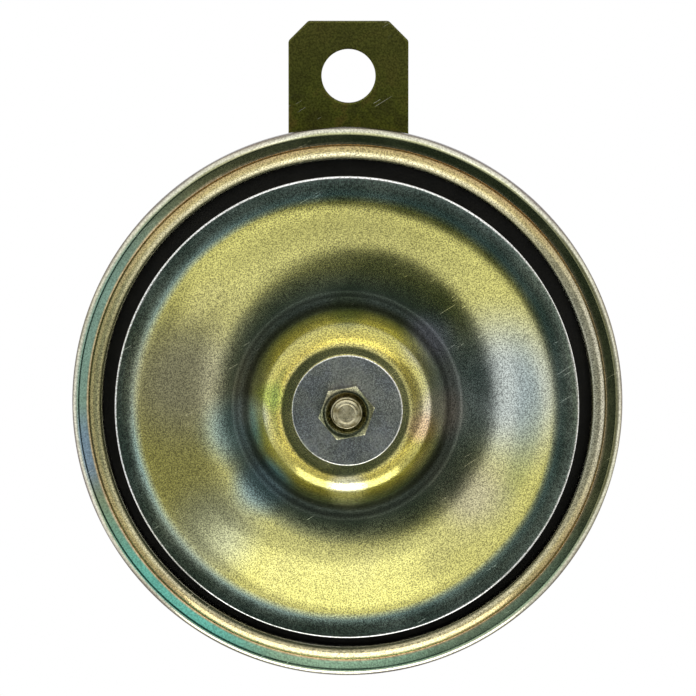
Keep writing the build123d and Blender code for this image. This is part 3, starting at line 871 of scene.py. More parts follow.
@dataclass(frozen=True)
class PlainMetal:
    """Bare or clear-plated metal with grain, faint brushing and dull specks, and, where it is set, a painted
    glint round an outer edge.
    """

    name: str
    base: Colour
    dull: Colour
    gloss: float = 0.3
    grain: float = 0.3
    grain_depth: float = 0.012
    grain_contrast: float = 0.4
    grain_roughness: float = 0.6
    gloss_drift: Point = (-0.02, 0.04)
    gloss_clouds: Clouds = Clouds(6.0)
    dull_share: float = 0.6
    dull_clouds: Clouds = Clouds(3.5, 0.4, 0.68, detail=4.0, roughness=0.6)
    brushing: float = 0.0
    brush_depth: float = 0.01
    brush_shape: Triple = (0.05, 1.0, 1.0)
    brush_lines: Clouds = Clouds(0.25, detail=1.0)
    bright_from: float = 99.0
    bright_edge: float = 0.12
    bright: Colour = (0.92, 0.91, 0.84)

    def mix(self) -> bpy.types.Material:
        """Mix the finish.

        Returns:
            The material.
        """
        r = Recipe(self.name)
        colour = r.blend(r.cloudy(self.dull_clouds, full=self.dull_share), self.base, self.dull)
        # Painted highlight: a pale band from a radius outwards, the glint on an outer edge.
        wear_and_glint = r.between(r.distance(0, 0), self.bright_from, self.bright_from + self.bright_edge)
        colour = r.blend(wear_and_glint, colour, self.bright)
        grain = r.noise(fine_grain(self.grain, self.grain_roughness))
        colour = r.speckled(colour, grain, self.grain_contrast)
        lines = r.noise(self.brush_lines, r.stretched(self.brush_shape))
        normal = r.bump(lines, self.brushing * self.brush_depth, r.bump(grain, self.grain_depth))
        rough = r.uneven(self.gloss, self.gloss_drift, self.gloss_clouds)
        return r.finish(colour, rough, normal, Metallic=1.0)


@dataclass(frozen=True)
class TurnedMetal:
    """Metal with the fine rings that a lathe leaves."""

    name: str
    base: Colour
    dull: Colour
    gloss: float = 0.28
    gloss_drift: Point = (-0.05, 0.12)
    gloss_clouds: Clouds = Clouds(1.2, detail=3.0)
    stains: Clouds = Clouds(1.6, 0.42, 0.66, detail=3.0, roughness=0.6)
    rings: float = 38.0
    ring_depth: float = 0.004
    waves: Clouds = Clouds(0.5, detail=3.0, roughness=0.6)
    wave_depth: float = 0.03

    def mix(self) -> bpy.types.Material:
        """Mix the finish.

        Returns:
            The material.
        """
        r = Recipe(self.name)
        rings = r.sum("SINE", r.sum("MULTIPLY", r.distance(0, 0), self.rings))
        colour = r.blend(r.cloudy(self.stains), self.base, self.dull)
        normal = r.bump(rings, self.ring_depth, r.bump(r.noise(self.waves), self.wave_depth))
        rough = r.uneven(self.gloss, self.gloss_drift, self.gloss_clouds)
        return r.finish(colour, rough, normal, Metallic=1.0)


@dataclass(frozen=True)
class Dull:
    """A non-metal surface: lacquer, moulding, board, paper or a wire's cover."""

    name: str
    base: Colour
    wear_and_glint: Colour
    gloss: float = 0.5
    gloss_drift: Point = (-0.08, 0.1)
    gloss_clouds: Clouds = Clouds(2.5, detail=3.0)
    worn_share: float = 0.8
    worn_clouds: Clouds = Clouds(4.0, 0.4, 0.7, detail=4.0, roughness=0.65)
    grain: Clouds = Clouds(0.4, 0.3, 0.75, detail=3.0, roughness=0.6)
    grain_share: float = 0.3
    grain_depth: float = 0.03
    fibre: float = 1.0
    coat: float = 0.0
    shine: float = 0.5

    def mix(self) -> bpy.types.Material:
        """Mix the finish.

        Returns:
            The material.
        """
        r = Recipe(self.name)
        colour = r.blend(r.cloudy(self.worn_clouds, full=self.worn_share), self.base, self.wear_and_glint)
        grain = r.noise(self.grain, r.stretched((1.0, self.fibre, self.fibre)))
        shown = r.between(grain, self.grain.low, self.grain.high, 0.0, self.grain_share)
        colour = r.blend(shown, colour, self.wear_and_glint)
        rough = r.uneven(self.gloss, self.gloss_drift, self.gloss_clouds)
        plain = {"Coat_Weight": self.coat, "Specular_IOR_Level": self.shine}
        return r.finish(colour, rough, r.bump(grain, self.grain_depth), **plain)


@dataclass(frozen=True)
class Wound:
    """Enamelled copper, wound turn by turn along the axis."""

    name: str
    base: Colour
    dark: Colour
    turn: float = 0.5
    turn_depth: float = 0.08
    dark_between: Point = (-1.0, 0.2)
    tarnish_share: float = 0.5
    tarnish: Clouds = Clouds(3.0, 0.4, 0.7, detail=3.0)
    gloss: float = 0.28
    gloss_drift: Point = (-0.08, 0.08)
    gloss_clouds: Clouds = Clouds(2.0)

    def mix(self) -> bpy.types.Material:
        """Mix the finish.

        Returns:
            The material.
        """
        r = Recipe(self.name)
        level = r.add("ShaderNodeSeparateXYZ")
        r.feed(level.inputs[0], r.place)
        turns = r.sum("SINE", r.sum("MULTIPLY", level.outputs["Y"], math.tau / (self.turn * MM)))
        colour = r.blend(r.between(turns, *self.dark_between, 1.0, 0.0), self.base, self.dark)
        colour = r.blend(r.cloudy(self.tarnish, full=self.tarnish_share), colour, self.dark)
        rough = r.uneven(self.gloss, self.gloss_drift, self.gloss_clouds)
        return r.finish(colour, rough, r.bump(turns, self.turn_depth), Metallic=1.0)


# The disc's bands and patches mix the film's colour with painted light; the side patches set the film's hue
# round the disc and also its brightness where reflections fall, partly film colour and partly painted
# reflection.
DISC_FILM_AND_LIGHT = YellowZinc(
    "disc_film_and_light",
    [
        (9.0, (0.66, 0.62, 0.30)), (10.2, (0.60, 0.56, 0.22)), (11.2, (0.60, 0.50, 0.10)),
        # From 14.6 to 18.6 mm the bands darken: painted shade in the valley.
        (13.2, (0.56, 0.52, 0.15)), (14.6, (0.32, 0.31, 0.15)), (16.0, (0.16, 0.20, 0.14)),
        (17.3, (0.12, 0.17, 0.15)), (18.6, (0.19, 0.25, 0.20)), (20.4, (0.34, 0.37, 0.22)),
        (23.0, (0.54, 0.52, 0.19)), (33.6, (0.58, 0.55, 0.17)), (34.8, (0.36, 0.52, 0.48)),
        # The last band, at 37.5 mm, is a painted glint on the disc's edge.
        (36.0, (0.30, 0.37, 0.32)), (37.3, (0.26, 0.34, 0.30)), (37.5, (0.94, 0.94, 0.90)),
    ],
    9.0, 37.8,
    drift=((0.40, 0.41, 0.18), (0.54, 0.50, 0.18), (0.46, 0.42, 0.26)), drift_share=0.3,
    patches=(
        FilmAndLightPatch(25, 3, 13, (0.50, 0.55, 0.52)),
        FilmAndLightPatch(-26, 4, 11, (0.50, 0.48, 0.30)),
        FilmAndLightPatch(-18.5, -4, 6, (0.36, 0.52, 0.50), 0.8),
        # Painted shade on the hub's upper slope.
        FilmAndLightPatch(0, 16.4, 3.6, (0.12, 0.16, 0.10), 0.8),
        FilmAndLightPatch(-22, -20, 8, (0.46, 0.50, 0.38), 0.6),
        # Painted highlight on the hub's lower slope.
        FilmAndLightPatch(0, -13.2, 3.4, (0.88, 0.86, 0.60), 0.9),
        FilmAndLightPatch(15.2, -1, 4.4, (0.70, 0.62, 0.50), 0.8),
        FilmAndLightPatch(12.2, -3, 2.6, (0.74, 0.50, 0.30), 0.7),
        FilmAndLightPatch(13.5, 11, 4.6, (0.44, 0.46, 0.54), 0.7),
        FilmAndLightPatch(-12.2, 2, 2.8, (0.42, 0.52, 0.12), 0.8),
        FilmAndLightPatch(-15.6, -1, 3.0, (0.56, 0.62, 0.54), 0.8),
        FilmAndLightPatch(-14, -13, 5.0, (0.30, 0.46, 0.50), 0.8),
        FilmAndLightPatch(20, -14, 7, (0.50, 0.46, 0.36), 0.6),
    ),
    patch_band=(9.0, 36.6), crease_shade=CreaseShade(17.3, 2.0, 0.2),
    grain=0.2, grain_contrast=0.55, grain_depth=0.006, gloss=0.17, scratched=0.12,
)
# The housing's bands and patches mix the film's colour with painted light: a painted glint on the lip's
# inner edge at 42.25 to 42.5 mm, a dark lip band, a painted highlight on the folded roll at 44.36 to 44.62
# mm and a painted dark reflection on its outer edge; the lip's patches make it lighter towards the bottom
# and teal on the left, partly film colour and partly painted reflection.
RIM_FILM_AND_LIGHT = YellowZinc(
    "rim_film_and_light",
    [
        (0.0, (0.50, 0.46, 0.22)), (12.0, (0.42, 0.45, 0.26)), (21.0, (0.54, 0.44, 0.20)),
        (26.0, (0.40, 0.43, 0.22)), (33.0, (0.54, 0.46, 0.22)), (38.0, (0.46, 0.36, 0.20)),
        (41.8, (0.60, 0.46, 0.26)), (42.25, (0.84, 0.66, 0.42)), (42.5, (0.70, 0.56, 0.34)),
        (42.75, (0.25, 0.26, 0.13)), (44.0, (0.25, 0.26, 0.14)), (44.2, (0.48, 0.48, 0.30)),
        (44.36, (0.84, 0.83, 0.68)), (44.62, (0.72, 0.70, 0.56)), (44.84, (0.30, 0.27, 0.24)),
        (45.0, (0.30, 0.27, 0.24)),
    ],
    0.0, 45.0, drift=((0.30, 0.40, 0.20), (0.46, 0.42, 0.18), (0.50, 0.34, 0.24)), drift_share=0.3,
    patches=(
        FilmAndLightPatch(-42, 12, 26, (0.24, 0.38, 0.30)),
        FilmAndLightPatch(-28, -34, 22, (0.16, 0.50, 0.40)),
        FilmAndLightPatch(4, -44, 20, (0.40, 0.62, 0.42)),
        FilmAndLightPatch(-43, -8, 7, (0.24, 0.36, 0.56), 0.6),
        FilmAndLightPatch(30, -34, 18, (0.36, 0.50, 0.34), 0.8),
    ),
    patch_band=(42.6, 44.2), grain=0.3, grain_depth=0.004, gloss=0.15, grain_contrast=0.25,
)
# The bead's bands and patches mix the film's colour with painted light: a painted highlight along the bead
# at 40.75 mm, painted shade just inside it at 40.15 mm and a pale painted glint on the inner edge at 39.7
# mm; the patches darken it on the left and lighten it on the right and at the bottom, partly film colour and
# partly painted reflection.
RING_FILM_AND_LIGHT = YellowZinc(
    "ring_film_and_light",
    [
        (39.7, (0.60, 0.60, 0.56)), (40.15, (0.30, 0.28, 0.15)), (40.75, (0.70, 0.65, 0.42)),
        (41.3, (0.50, 0.42, 0.19)), (42.0, (0.46, 0.34, 0.16)), (42.3, (0.40, 0.26, 0.12)),
    ],
    39.6, 42.4, drift=((0.56, 0.46, 0.16), (0.42, 0.40, 0.22), (0.52, 0.36, 0.28)), drift_share=0.35,
    patches=(
        FilmAndLightPatch(-40, 2, 26, (0.26, 0.24, 0.11), 0.85),
        FilmAndLightPatch(40, 4, 22, (0.62, 0.66, 0.60), 0.5),
        FilmAndLightPatch(0, -40, 26, (0.68, 0.60, 0.36), 0.6),
    ),
    patch_band=(40.2, 43.0), grain=0.22, grain_depth=0.010, gloss=0.17, grain_contrast=0.5,
)
# The strip's film is made nearly black as painted shade for its place behind the rim; its mottling and
# scratches are its own.
BRACKET_FILM_AND_SHADE = YellowZinc(
    "bracket_film_and_shade",
    [(20.0, (0.10, 0.13, 0.02)), (46.0, (0.085, 0.095, 0.018)), (62.0, (0.09, 0.09, 0.022))],
    18.0, 62.0, drift=((0.045, 0.046, 0.014), (0.09, 0.105, 0.018), (0.12, 0.095, 0.025)), drift_share=0.85,
    blotches=Clouds(5.0, detail=3.0, roughness=0.6, warp=0.6),
    grain=0.35, grain_depth=0.012, gloss=0.34, scratched=0.7, grain_contrast=0.35,
)
# Radii here are from the horn's axis: the hub nut's faces are dark, and the pale band from 4.5 mm out is a
# painted highlight on its chamfered corners; the rear nut lies wholly beyond it and takes that pale colour
# all over.
NUT_FILM_AND_GLINT = YellowZinc(
    "nut_film_and_glint",
    [
        (0.0, (0.16, 0.15, 0.08)), (3.9, (0.20, 0.19, 0.10)), (4.36, (0.26, 0.25, 0.14)),
        (4.5, (0.70, 0.68, 0.44)),
    ],
    0.0, 4.6, grain=0.25, gloss=0.12, grain_contrast=0.5,
)
CLEAR_ZINC = PlainMetal("clear_zinc", (0.42, 0.44, 0.41), (0.35, 0.38, 0.40), gloss=0.27, grain=0.2)
# The washer's pale band from 8.78 mm out is a painted glint on its chamfered edge.
WASHER_ZINC = PlainMetal(
    "washer_zinc", (0.42, 0.44, 0.40), (0.36, 0.39, 0.43),
    gloss=0.25, grain=0.25, grain_depth=0.014, bright_from=8.78,
)
TURNED_STEEL = TurnedMetal("turned_steel", (0.60, 0.55, 0.36), (0.24, 0.20, 0.09), 0.24)
MAGNET_STEEL = TurnedMetal("magnet_steel", (0.46, 0.46, 0.44), (0.34, 0.34, 0.31), 0.34)
SPRING_STEEL = PlainMetal("spring_steel", (0.36, 0.38, 0.42), (0.24, 0.25, 0.30), 0.22, brushing=1.0)
CONTACT_ALLOY = PlainMetal("contact_alloy", (0.66, 0.66, 0.64), (0.44, 0.44, 0.42), 0.3)
TINNED_BRASS = PlainMetal("tinned_brass", (0.70, 0.64, 0.46), (0.56, 0.52, 0.42), 0.3, brushing=0.6)
COPPER = Wound("copper_wire", (0.72, 0.30, 0.14), (0.30, 0.10, 0.04))
LACQUER = Dull("black_lacquer", (0.006, 0.006, 0.004), (0.014, 0.013, 0.009), 0.42, shine=0.22)
NYLON = Dull("black_nylon", (0.018, 0.018, 0.019), (0.034, 0.034, 0.036), 0.46)
FIBRE = Dull("brown_fibre", (0.22, 0.11, 0.045), (0.34, 0.20, 0.10), 0.6, fibre=6.0)
GASKET = Dull(
    "gasket_paper", (0.10, 0.095, 0.07), (0.17, 0.16, 0.12), 0.75,
    grain=Clouds(0.25, 0.3, 0.75, detail=3.0, roughness=0.6),
)
LEAD = Dull(
    "lead_cover", (0.42, 0.03, 0.02), (0.30, 0.03, 0.02), 0.35,
    grain=Clouds(0.8, 0.3, 0.75, detail=3.0, roughness=0.6), grain_depth=0.01, coat=0.2,
)

SLOT_FINISH = {
    Slot.YELLOW_ZINC: RIM_FILM_AND_LIGHT,
    Slot.BRACKET_ZINC: BRACKET_FILM_AND_SHADE,
    Slot.CLEAR_ZINC: CLEAR_ZINC,
    Slot.TURNED_STEEL: TURNED_STEEL,
    Slot.BLACK_LACQUER: LACQUER,
    Slot.SPRING_STEEL: SPRING_STEEL,
    Slot.MAGNET_STEEL: MAGNET_STEEL,
    Slot.COPPER_WIRE: COPPER,
    Slot.TINNED_BRASS: TINNED_BRASS,
    Slot.CONTACT_ALLOY: CONTACT_ALLOY,
    Slot.BLACK_NYLON: NYLON,
    Slot.BROWN_FIBRE: FIBRE,
    Slot.GASKET_PAPER: GASKET,
    Slot.LEAD_COVER: LEAD,
}


# --- Sub-assemblies ---


@dataclass
class Housing:
    """The drawn steel pan with its folded lip and coil pot, and the clamp ring under the lip."""

    rim_radius: float = 45.0
    lip_edge: float = 42.3
    sheet: float = 1.0
    fold_bend: float = 0.62
    lip_rise: float = 0.3
    ring_front: float = 3.4
    flange_inner: float = 39.3
    pan_floor: float = 37.0
    pan_depth: float = 10.0
    pan_bend: float = 2.0
    pot_radius: float = 22.0
    pot_depth: float = 12.0
    pot_draft: float = 0.3
    pot_bend: float = 2.5
    pot_base_bend: float = 3.0
    stud_hole: float = 4.05
    ring_inner: float = 39.85
    ring_rear: float = 2.4
    ring_outer: float = 43.55
    crest_height: float = 2.2
    crest_setback: float = 0.3
    back_drop: float = 1.1
    crest_pull: float = 0.3
    crest_push: float = 0.4
    edge_round: float = 0.35
    foot_gap: float = 0.05
    lip_round: float = 0.16
    back_steps: int = 24
    crest_steps: int = 12
    steps: int = 288

    def build_shell(self) -> Piece:
        """Turn the pan, lip and pot as one sheet.

        Returns:
            The shell.
        """
        middle = self.sheet / 2
        pot_rear = -self.pan_depth - self.pot_depth
        line = soften(
            [
                (self.lip_edge, self.ring_front + middle, 0),
                (self.rim_radius - middle, self.ring_front + middle + self.lip_rise, self.fold_bend),
                (self.rim_radius - middle, middle, self.fold_bend),
                (self.flange_inner, middle, self.pan_bend),
                (self.pan_floor, middle - self.pan_depth, self.pan_bend),
                (self.pot_radius - middle, middle - self.pan_depth, self.pot_bend),
                (self.pot_radius - middle - self.pot_draft, pot_rear + middle, self.pot_base_bend),
                (self.stud_hole, pot_rear + middle, 0),
            ]
        )
        shell = lathe("housing_shell", sheet_outline(line, self.sheet), self.steps)
        ease_edges(shell, self.lip_round, segments=3)
        return shell

    def build_ring(self) -> Piece:
        """Turn the clamp ring with its raised bead.

        Returns:
            The ring.
        """
        crest = self.ring_front + self.crest_height
        crest_radius = self.ring_inner + self.crest_setback
        foot = self.lip_edge - self.foot_gap
        run = foot - crest_radius
        back_round = (run**2 + self.back_drop**2) / (2 * self.back_drop)
        turn = math.atan2(run, back_round - self.back_drop)
        angles = [turn * (1 - step / self.back_steps) for step in range(self.back_steps + 1)]
        back = [
            (crest_radius + back_round * math.sin(angle), crest - back_round * (1 - math.cos(angle)))
            for angle in angles
        ]
        outline = [
            (foot, self.ring_front),
            *back,
            *curve(
                (crest_radius, crest),
                (self.ring_inner + self.crest_pull * self.crest_setback, crest),
                (self.ring_inner, crest - self.crest_push * self.edge_round),
                (self.ring_inner, crest - self.edge_round),
                self.crest_steps,
            ),
            (self.ring_inner, self.ring_rear),
            (self.ring_outer, self.ring_rear),
            (self.ring_outer, self.ring_front),
            (foot, self.ring_front),
        ]
        ring = lathe("clamp_ring", outline, self.steps)
        smooth(ring, up_to=30)
        return ring

    def build(self) -> None:
        """Build and dress both pieces."""
        fit(self.build_shell(), Body.HORN, Slot.YELLOW_ZINC, RIM_FILM_AND_LIGHT.mix(), "housing")
        fit(self.build_ring(), Body.HORN, Slot.YELLOW_ZINC, RING_FILM_AND_LIGHT.mix(), "front_ring")


@dataclass
class ToneDisc:
    """The dished disc on the armature's stud, with its washer and nut."""

    sheet: float = 1.2
    radius: float = 37.7
    margin_width: float = 1.2
    margin_front: float = 12.3
    valley_front: float = 8.6
    hub_front: float = 15.2
    valley_radius: float = 18.0
    hub_radius: float = 10.0
    edge_round: float = 0.3
    shoulder_top_ease: float = 0.55
    shoulder_foot_ease: float = 0.27
    dish_foot_ease: float = 0.61
    dish_rim_ease: float = 0.37
    shoulder_steps: int = 30
    dish_steps: int = 34
    bore: float = 2.55
    washer_radius: float = 9.0
    washer_bore: float = 2.65
    washer_thickness: float = 1.0
    washer_chamfer: float = 0.15
    washer_offset: float = 0.1
    washer_ease: float = 0.06
    washer_steps: int = 160
    nut_flats: float = 8.0
    nut_height: float = 4.0
    nut_turn: float = 10.0
    nut_sink: float = 0.8
    steps: int = 288

    def skin(self, drop: float) -> list[Point]:
        """Draw one face of the sheet from the bore to the margin.

        Args:
            drop: How far it lies below the front face.

        Returns:
            The points of the face.
        """
        top, low, rim = self.hub_front - drop, self.valley_front - drop, self.margin_front - drop
        dish_edge = self.radius - self.margin_width
        shoulder_run = self.valley_radius - self.hub_radius
        dish_run = dish_edge - self.valley_radius
        return [
            (self.bore, top),
            *curve(
                (self.hub_radius, top),
                (self.hub_radius + self.shoulder_top_ease * shoulder_run, top),
                (self.valley_radius - self.shoulder_foot_ease * shoulder_run, low),
                (self.valley_radius, low),
                self.shoulder_steps,
            ),
            *curve(
                (self.valley_radius, low),
                (self.valley_radius + self.dish_foot_ease * dish_run, low),
                (dish_edge - self.dish_rim_ease * dish_run, rim),
                (dish_edge, rim),
                self.dish_steps,
            ),
            (self.radius, rim),
        ]

    def build_disc(self) -> Piece:
        """Turn the disc and round its edge.

        Returns:
            The disc.
        """
        outline = [*self.skin(0), *reversed(self.skin(self.sheet)), self.skin(0)[0]]
        disc = lathe("resonator_disc", outline, self.steps)
        ease_edges(disc, self.edge_round, segments=4)
        return disc

    def build_washer(self) -> Piece:
        """Turn the flat washer with its chamfered edge.

        Returns:
            The washer.
        """
        rear, front = self.hub_front, self.hub_front + self.washer_thickness
        outline = [
            (self.washer_bore, rear),
            (self.washer_bore, front),
            (self.washer_radius - self.washer_chamfer, front),
            (self.washer_radius, front - self.washer_chamfer),
            (self.washer_radius, rear),
            (self.washer_bore, rear),
        ]
        washer = lathe("hub_washer", outline, self.washer_steps, (self.washer_offset, 0))
        ease_edges(washer, self.washer_ease)
        return washer

    def build(self) -> None:
        """Build and dress the disc and its fastening."""
        fit(self.build_disc(), Body.STRIKER, Slot.YELLOW_ZINC, DISC_FILM_AND_LIGHT.mix(), "tone_disc")
        fit(self.build_washer(), Body.STRIKER, Slot.CLEAR_ZINC, WASHER_ZINC.mix(), "disc_washer")
        nut = HexNut(
            "hub_nut", flats=self.nut_flats, height=self.nut_height, bore=self.bore, sink=self.nut_sink,
            turn=self.nut_turn, rear=self.hub_front + self.washer_thickness,
        )
        fit(nut.build(), Body.STRIKER, Slot.YELLOW_ZINC, NUT_FILM_AND_GLINT.mix(), "disc_nut")


@dataclass
class HexNut:
    """A hexagon nut with turned chamfers and countersunk mouths."""

    name: str
    flats: float
    height: float
    bore: float
    sink: float
    turn: float
    rear: float
    sides: int = 6
    over_corner: float = 0.02
    over_end: float = 1.0
    ease: float = 0.1
    ease_angle: float = 26.0
    steps: int = 120

    def build(self) -> Piece:
        """Turn the blank, then cut its six flats.

        Returns:
            The nut.
        """
        corner = self.flats / 2 / math.cos(math.pi / self.sides)
        drop = (corner - self.flats / 2) / 2
        blank_radius = corner + self.over_corner
        front = self.rear + self.height
        blank = lathe(
            self.name,
            [
                (self.bore + self.sink, self.rear),
                (self.flats / 2, self.rear),
                (blank_radius, self.rear + drop),
                (blank_radius, front - drop),
                (self.flats / 2, front),
                (self.bore + self.sink, front),
                (self.bore, front - self.sink),
                (self.bore, self.rear + self.sink),
                (self.bore + self.sink, self.rear),
            ],
            self.steps,
        )
        side = FULL_TURN / self.sides
        outline = [around(corner, self.turn + side * index) for index in range(self.sides)]
        hexagon = prism("hexagon", outline, self.rear - self.over_end, front + self.over_end)
        shape_by(blank, hexagon, Cut.KEEP_COMMON)
        ease_edges(blank, self.ease, sharper_than=self.ease_angle)
        return blank


@dataclass
class Armature:
    """The turned striker: slug, pusher collar, stem and the threaded stud."""

    slug_radius: float = 7.0
    slug_rear: float = -6.1
    collar_radius: float = 13.5
    collar_rear: float = -2.6
    collar_front: float = -1.4
    shoulder: float = 0.7
    stem_radius: float = 4.0
    stem_upper: float = 3.5
    nut_front: float = 6.2
    hub_rear: float = 14.0
    stud_radius: float = 2.5
    stud_front: float = 21.2
    slug_chamfer: float = 0.3
    end_round: float = 0.6
    end_step: float = 0.12
    end_slope: float = 0.3
    pitch: float = 0.8
    thread_depth: float = 0.42
    dimple_depth: float = 0.18
    dimple_lip: float = 0.04
    dimple_slope: float = 0.2
    steps: int = 96

    def build(self) -> None:
        """Turn and dress the armature."""
        thread = Thread(self.stud_radius, self.pitch, self.thread_depth)
        thread_end = self.stud_front - self.end_round
        end_radius = self.stud_radius - self.end_round
        lip_radius = end_radius - self.end_slope
        dimple = self.stud_front - self.dimple_depth
        outline = [
            (0, self.slug_rear),
            (self.slug_radius - self.slug_chamfer, self.slug_rear),
            (self.slug_radius, self.slug_rear + self.slug_chamfer),
            (self.slug_radius, self.collar_rear),
            (self.collar_radius, self.collar_rear),
            (self.collar_radius, self.collar_front),
            (self.slug_radius, self.collar_front),
            (self.slug_radius, self.shoulder),
            (self.stem_radius, self.shoulder),
            (self.stem_radius, self.nut_front),
            (self.stem_upper, self.nut_front + self.stem_radius - self.stem_upper),
            (self.stem_upper, self.hub_rear),
            *thread.edge(self.hub_rear, thread_end),
            (self.stud_radius - self.end_step, thread_end),
            (self.stud_radius - self.end_slope, self.stud_front - self.end_step),
            (end_radius, self.stud_front),
            (lip_radius, self.stud_front - self.dimple_lip),
            (lip_radius - self.dimple_slope, dimple),
            (0, dimple),
        ]
        stud = lathe("striker_stud", outline, self.steps)
        smooth(stud)
        fit(stud, Body.STRIKER, Slot.TURNED_STEEL, TURNED_STEEL.mix(), "armature")


@dataclass
class Bracket:
    """The flat strip: round at the horn's stud, chamfered above its mounting hole."""

    width: float = 20.0
    front: float = -22.0
    rear: float = -24.0
    hole_height: float = 52.0
    hole_radius: float = 4.5
    stud_hole: float = 4.05
    top: float = 9.15
    chamfer: float = 3.3
    edge: float = 0.25
    arc_steps: int = 36
    hole_steps: int = 96
    drill_over: float = 1.0

    def build(self) -> None:
        """Cut and dress the strip."""
        half, top = self.width / 2, self.hole_height + self.top
        outline = [
            (half, top - self.chamfer),
            (half - self.chamfer, top),
            (-half + self.chamfer, top),
            (-half, top - self.chamfer),
            *[around(half, 180 * (1 + index / self.arc_steps)) for index in range(self.arc_steps + 1)],
        ]
        strip = prism("mounting_strip", outline, self.rear, self.front)
        step = FULL_TURN / self.hole_steps
        for height, radius in ((self.hole_height, self.hole_radius), (0.0, self.stud_hole)):
            circle = [around(radius, step * index) for index in range(self.hole_steps)]
            edge = [(across, height + up) for across, up in circle]
            drill = prism("drill", edge, self.rear - self.drill_over, self.front + self.drill_over)
            shape_by(strip, drill, Cut.TAKE_AWAY)
        ease_edges(strip, self.edge, segments=3)
        fit(strip, Body.HORN, Slot.BRACKET_ZINC, BRACKET_FILM_AND_SHADE.mix(), "bracket")


@dataclass
class RearFastening:
    """The fixed core's threaded shank with the nut that clamps the bracket."""

    core_radius: float = 7.0
    core_front: float = -7.0
    pot_front: float = -21.0
    shank_radius: float = 4.0
    shank_rear: float = -32.2
    pitch: float = 1.25
    thread_depth: float = 0.62
    relief: float = 1.0
    end_chamfer: float = 0.7
    steps: int = 96
    nut_flats: float = 13.0
    nut_height: float = 5.0
    nut_turn: float = 17.0
    nut_bore: float = 4.05
    nut_sink: float = 0.5
    nut_rear: float = -31.0

    def build(self) -> None:
        """Turn and dress the core and its nut."""
        thread = Thread(self.shank_radius, self.pitch, self.thread_depth)
        thread_end = self.pot_front - self.relief
        outline = [
            (0, self.shank_rear),
            (self.shank_radius - self.end_chamfer, self.shank_rear),
            *thread.edge(self.shank_rear + self.end_chamfer, thread_end),
            (self.shank_radius, thread_end),
            (self.shank_radius, self.pot_front),
            (self.core_radius, self.pot_front),
            (self.core_radius, self.core_front),
            (0, self.core_front),
        ]
        core = lathe("core_shank", outline, self.steps)
        smooth(core)
        fit(core, Body.HORN, Slot.MAGNET_STEEL, MAGNET_STEEL.mix(), "core")
        nut = HexNut(
            "strip_nut", flats=self.nut_flats, height=self.nut_height, bore=self.nut_bore,
            sink=self.nut_sink, turn=self.nut_turn, rear=self.nut_rear,
        )
        fit(nut.build(), Body.HORN, Slot.YELLOW_ZINC, NUT_FILM_AND_GLINT.mix(), "back_nut")


@dataclass
class AdjustingScrew:
    """The slotted screw that sets the contacts."""

    across: float = 27.3
    radius: float = 2.0
    tail: float = -17.4
    tip: float = -7.65
    chamfer: float = 0.35
    pitch: float = 0.7
    thread_depth: float = 0.36
    relief: float = 0.1
    head_relief: float = 0.4
    tip_relief: float = 0.8
    slot_width: float = 0.9
    slot_depth: float = 1.4
    saw_over: float = 1.0
    steps: int = 72

    def build(self) -> None:
        """Turn, slot and dress the screw."""
        thread = Thread(self.radius, self.pitch, self.thread_depth)
        head_end = self.tail + self.slot_depth + self.head_relief
        tip_start = self.tip - self.tip_relief
        outline = [
            (0, self.tail),
            (self.radius - self.chamfer, self.tail),
            (self.radius, self.tail + self.chamfer),
            (self.radius, head_end),
            *thread.edge(head_end + self.relief, tip_start - self.relief),
            (self.radius, tip_start),
            (self.radius, self.tip - self.chamfer),
            (self.radius - self.chamfer, self.tip),
            (0, self.tip),
        ]
        screw = lathe("setting_screw", outline, self.steps, (self.across, 0))
        reach, half = self.radius + self.saw_over, self.slot_width / 2
        corners = [(-reach, -half), (reach, -half), (reach, half), (-reach, half)]
        saw = prism(
            "saw",
            [(self.across + across, up) for across, up in corners],
            self.tail - self.saw_over,
            self.tail + self.slot_depth,
        )
        shape_by(screw, saw, Cut.TAKE_AWAY)
        smooth(screw)
        fit(screw, Body.SCREW, Slot.CLEAR_ZINC, CLEAR_ZINC.mix(), "adjusting_screw")


@dataclass
class PlainParts:
    """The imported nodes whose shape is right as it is; they only get their finishes."""

    def build(self) -> None:
        """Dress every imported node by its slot."""
        mixed = {slot: finish.mix() for slot, finish in SLOT_FINISH.items()}
        for row in frame["record"]["subparts"]:
            node = frame["nodes"][row["node"]]
            slot = Slot(row["material_slot"])
            if not node.material_slots:
                node.data.materials.append(mixed[slot])
            for holder in node.material_slots:
                holder.material = mixed[slot]
            LOG.info("%s takes %s", node.name, slot.value)


# --- Studio ---


def round_sheet(name: str, corners: int, radius: float = 1.0) -> Piece:
    """Lay down a flat round sheet.

    Args:
        name: The sheet's name.
        corners: Corners of its edge.
        radius: Its radius in metres.

    Returns:
        The sheet.
    """
    clear_bench()
    bpy.ops.mesh.primitive_circle_add(vertices=corners, radius=radius, fill_type="NGON")
    sheet = bpy.context.object
    sheet.name = name
    return sheet


def face_horn(holder: Piece, place: Place, front: str) -> None:
    """Put a thing somewhere in the studio, with its front towards the horn.

    Args:
        holder: The thing.
        place: Where it stands, in metres.
        front: The axis that is its front.
    """
    holder.location = place
    aim = spot(0, 0, AIM_LEVEL) - Vector(place)
    holder.rotation_euler = aim.to_track_quat(front, "Y").to_euler()


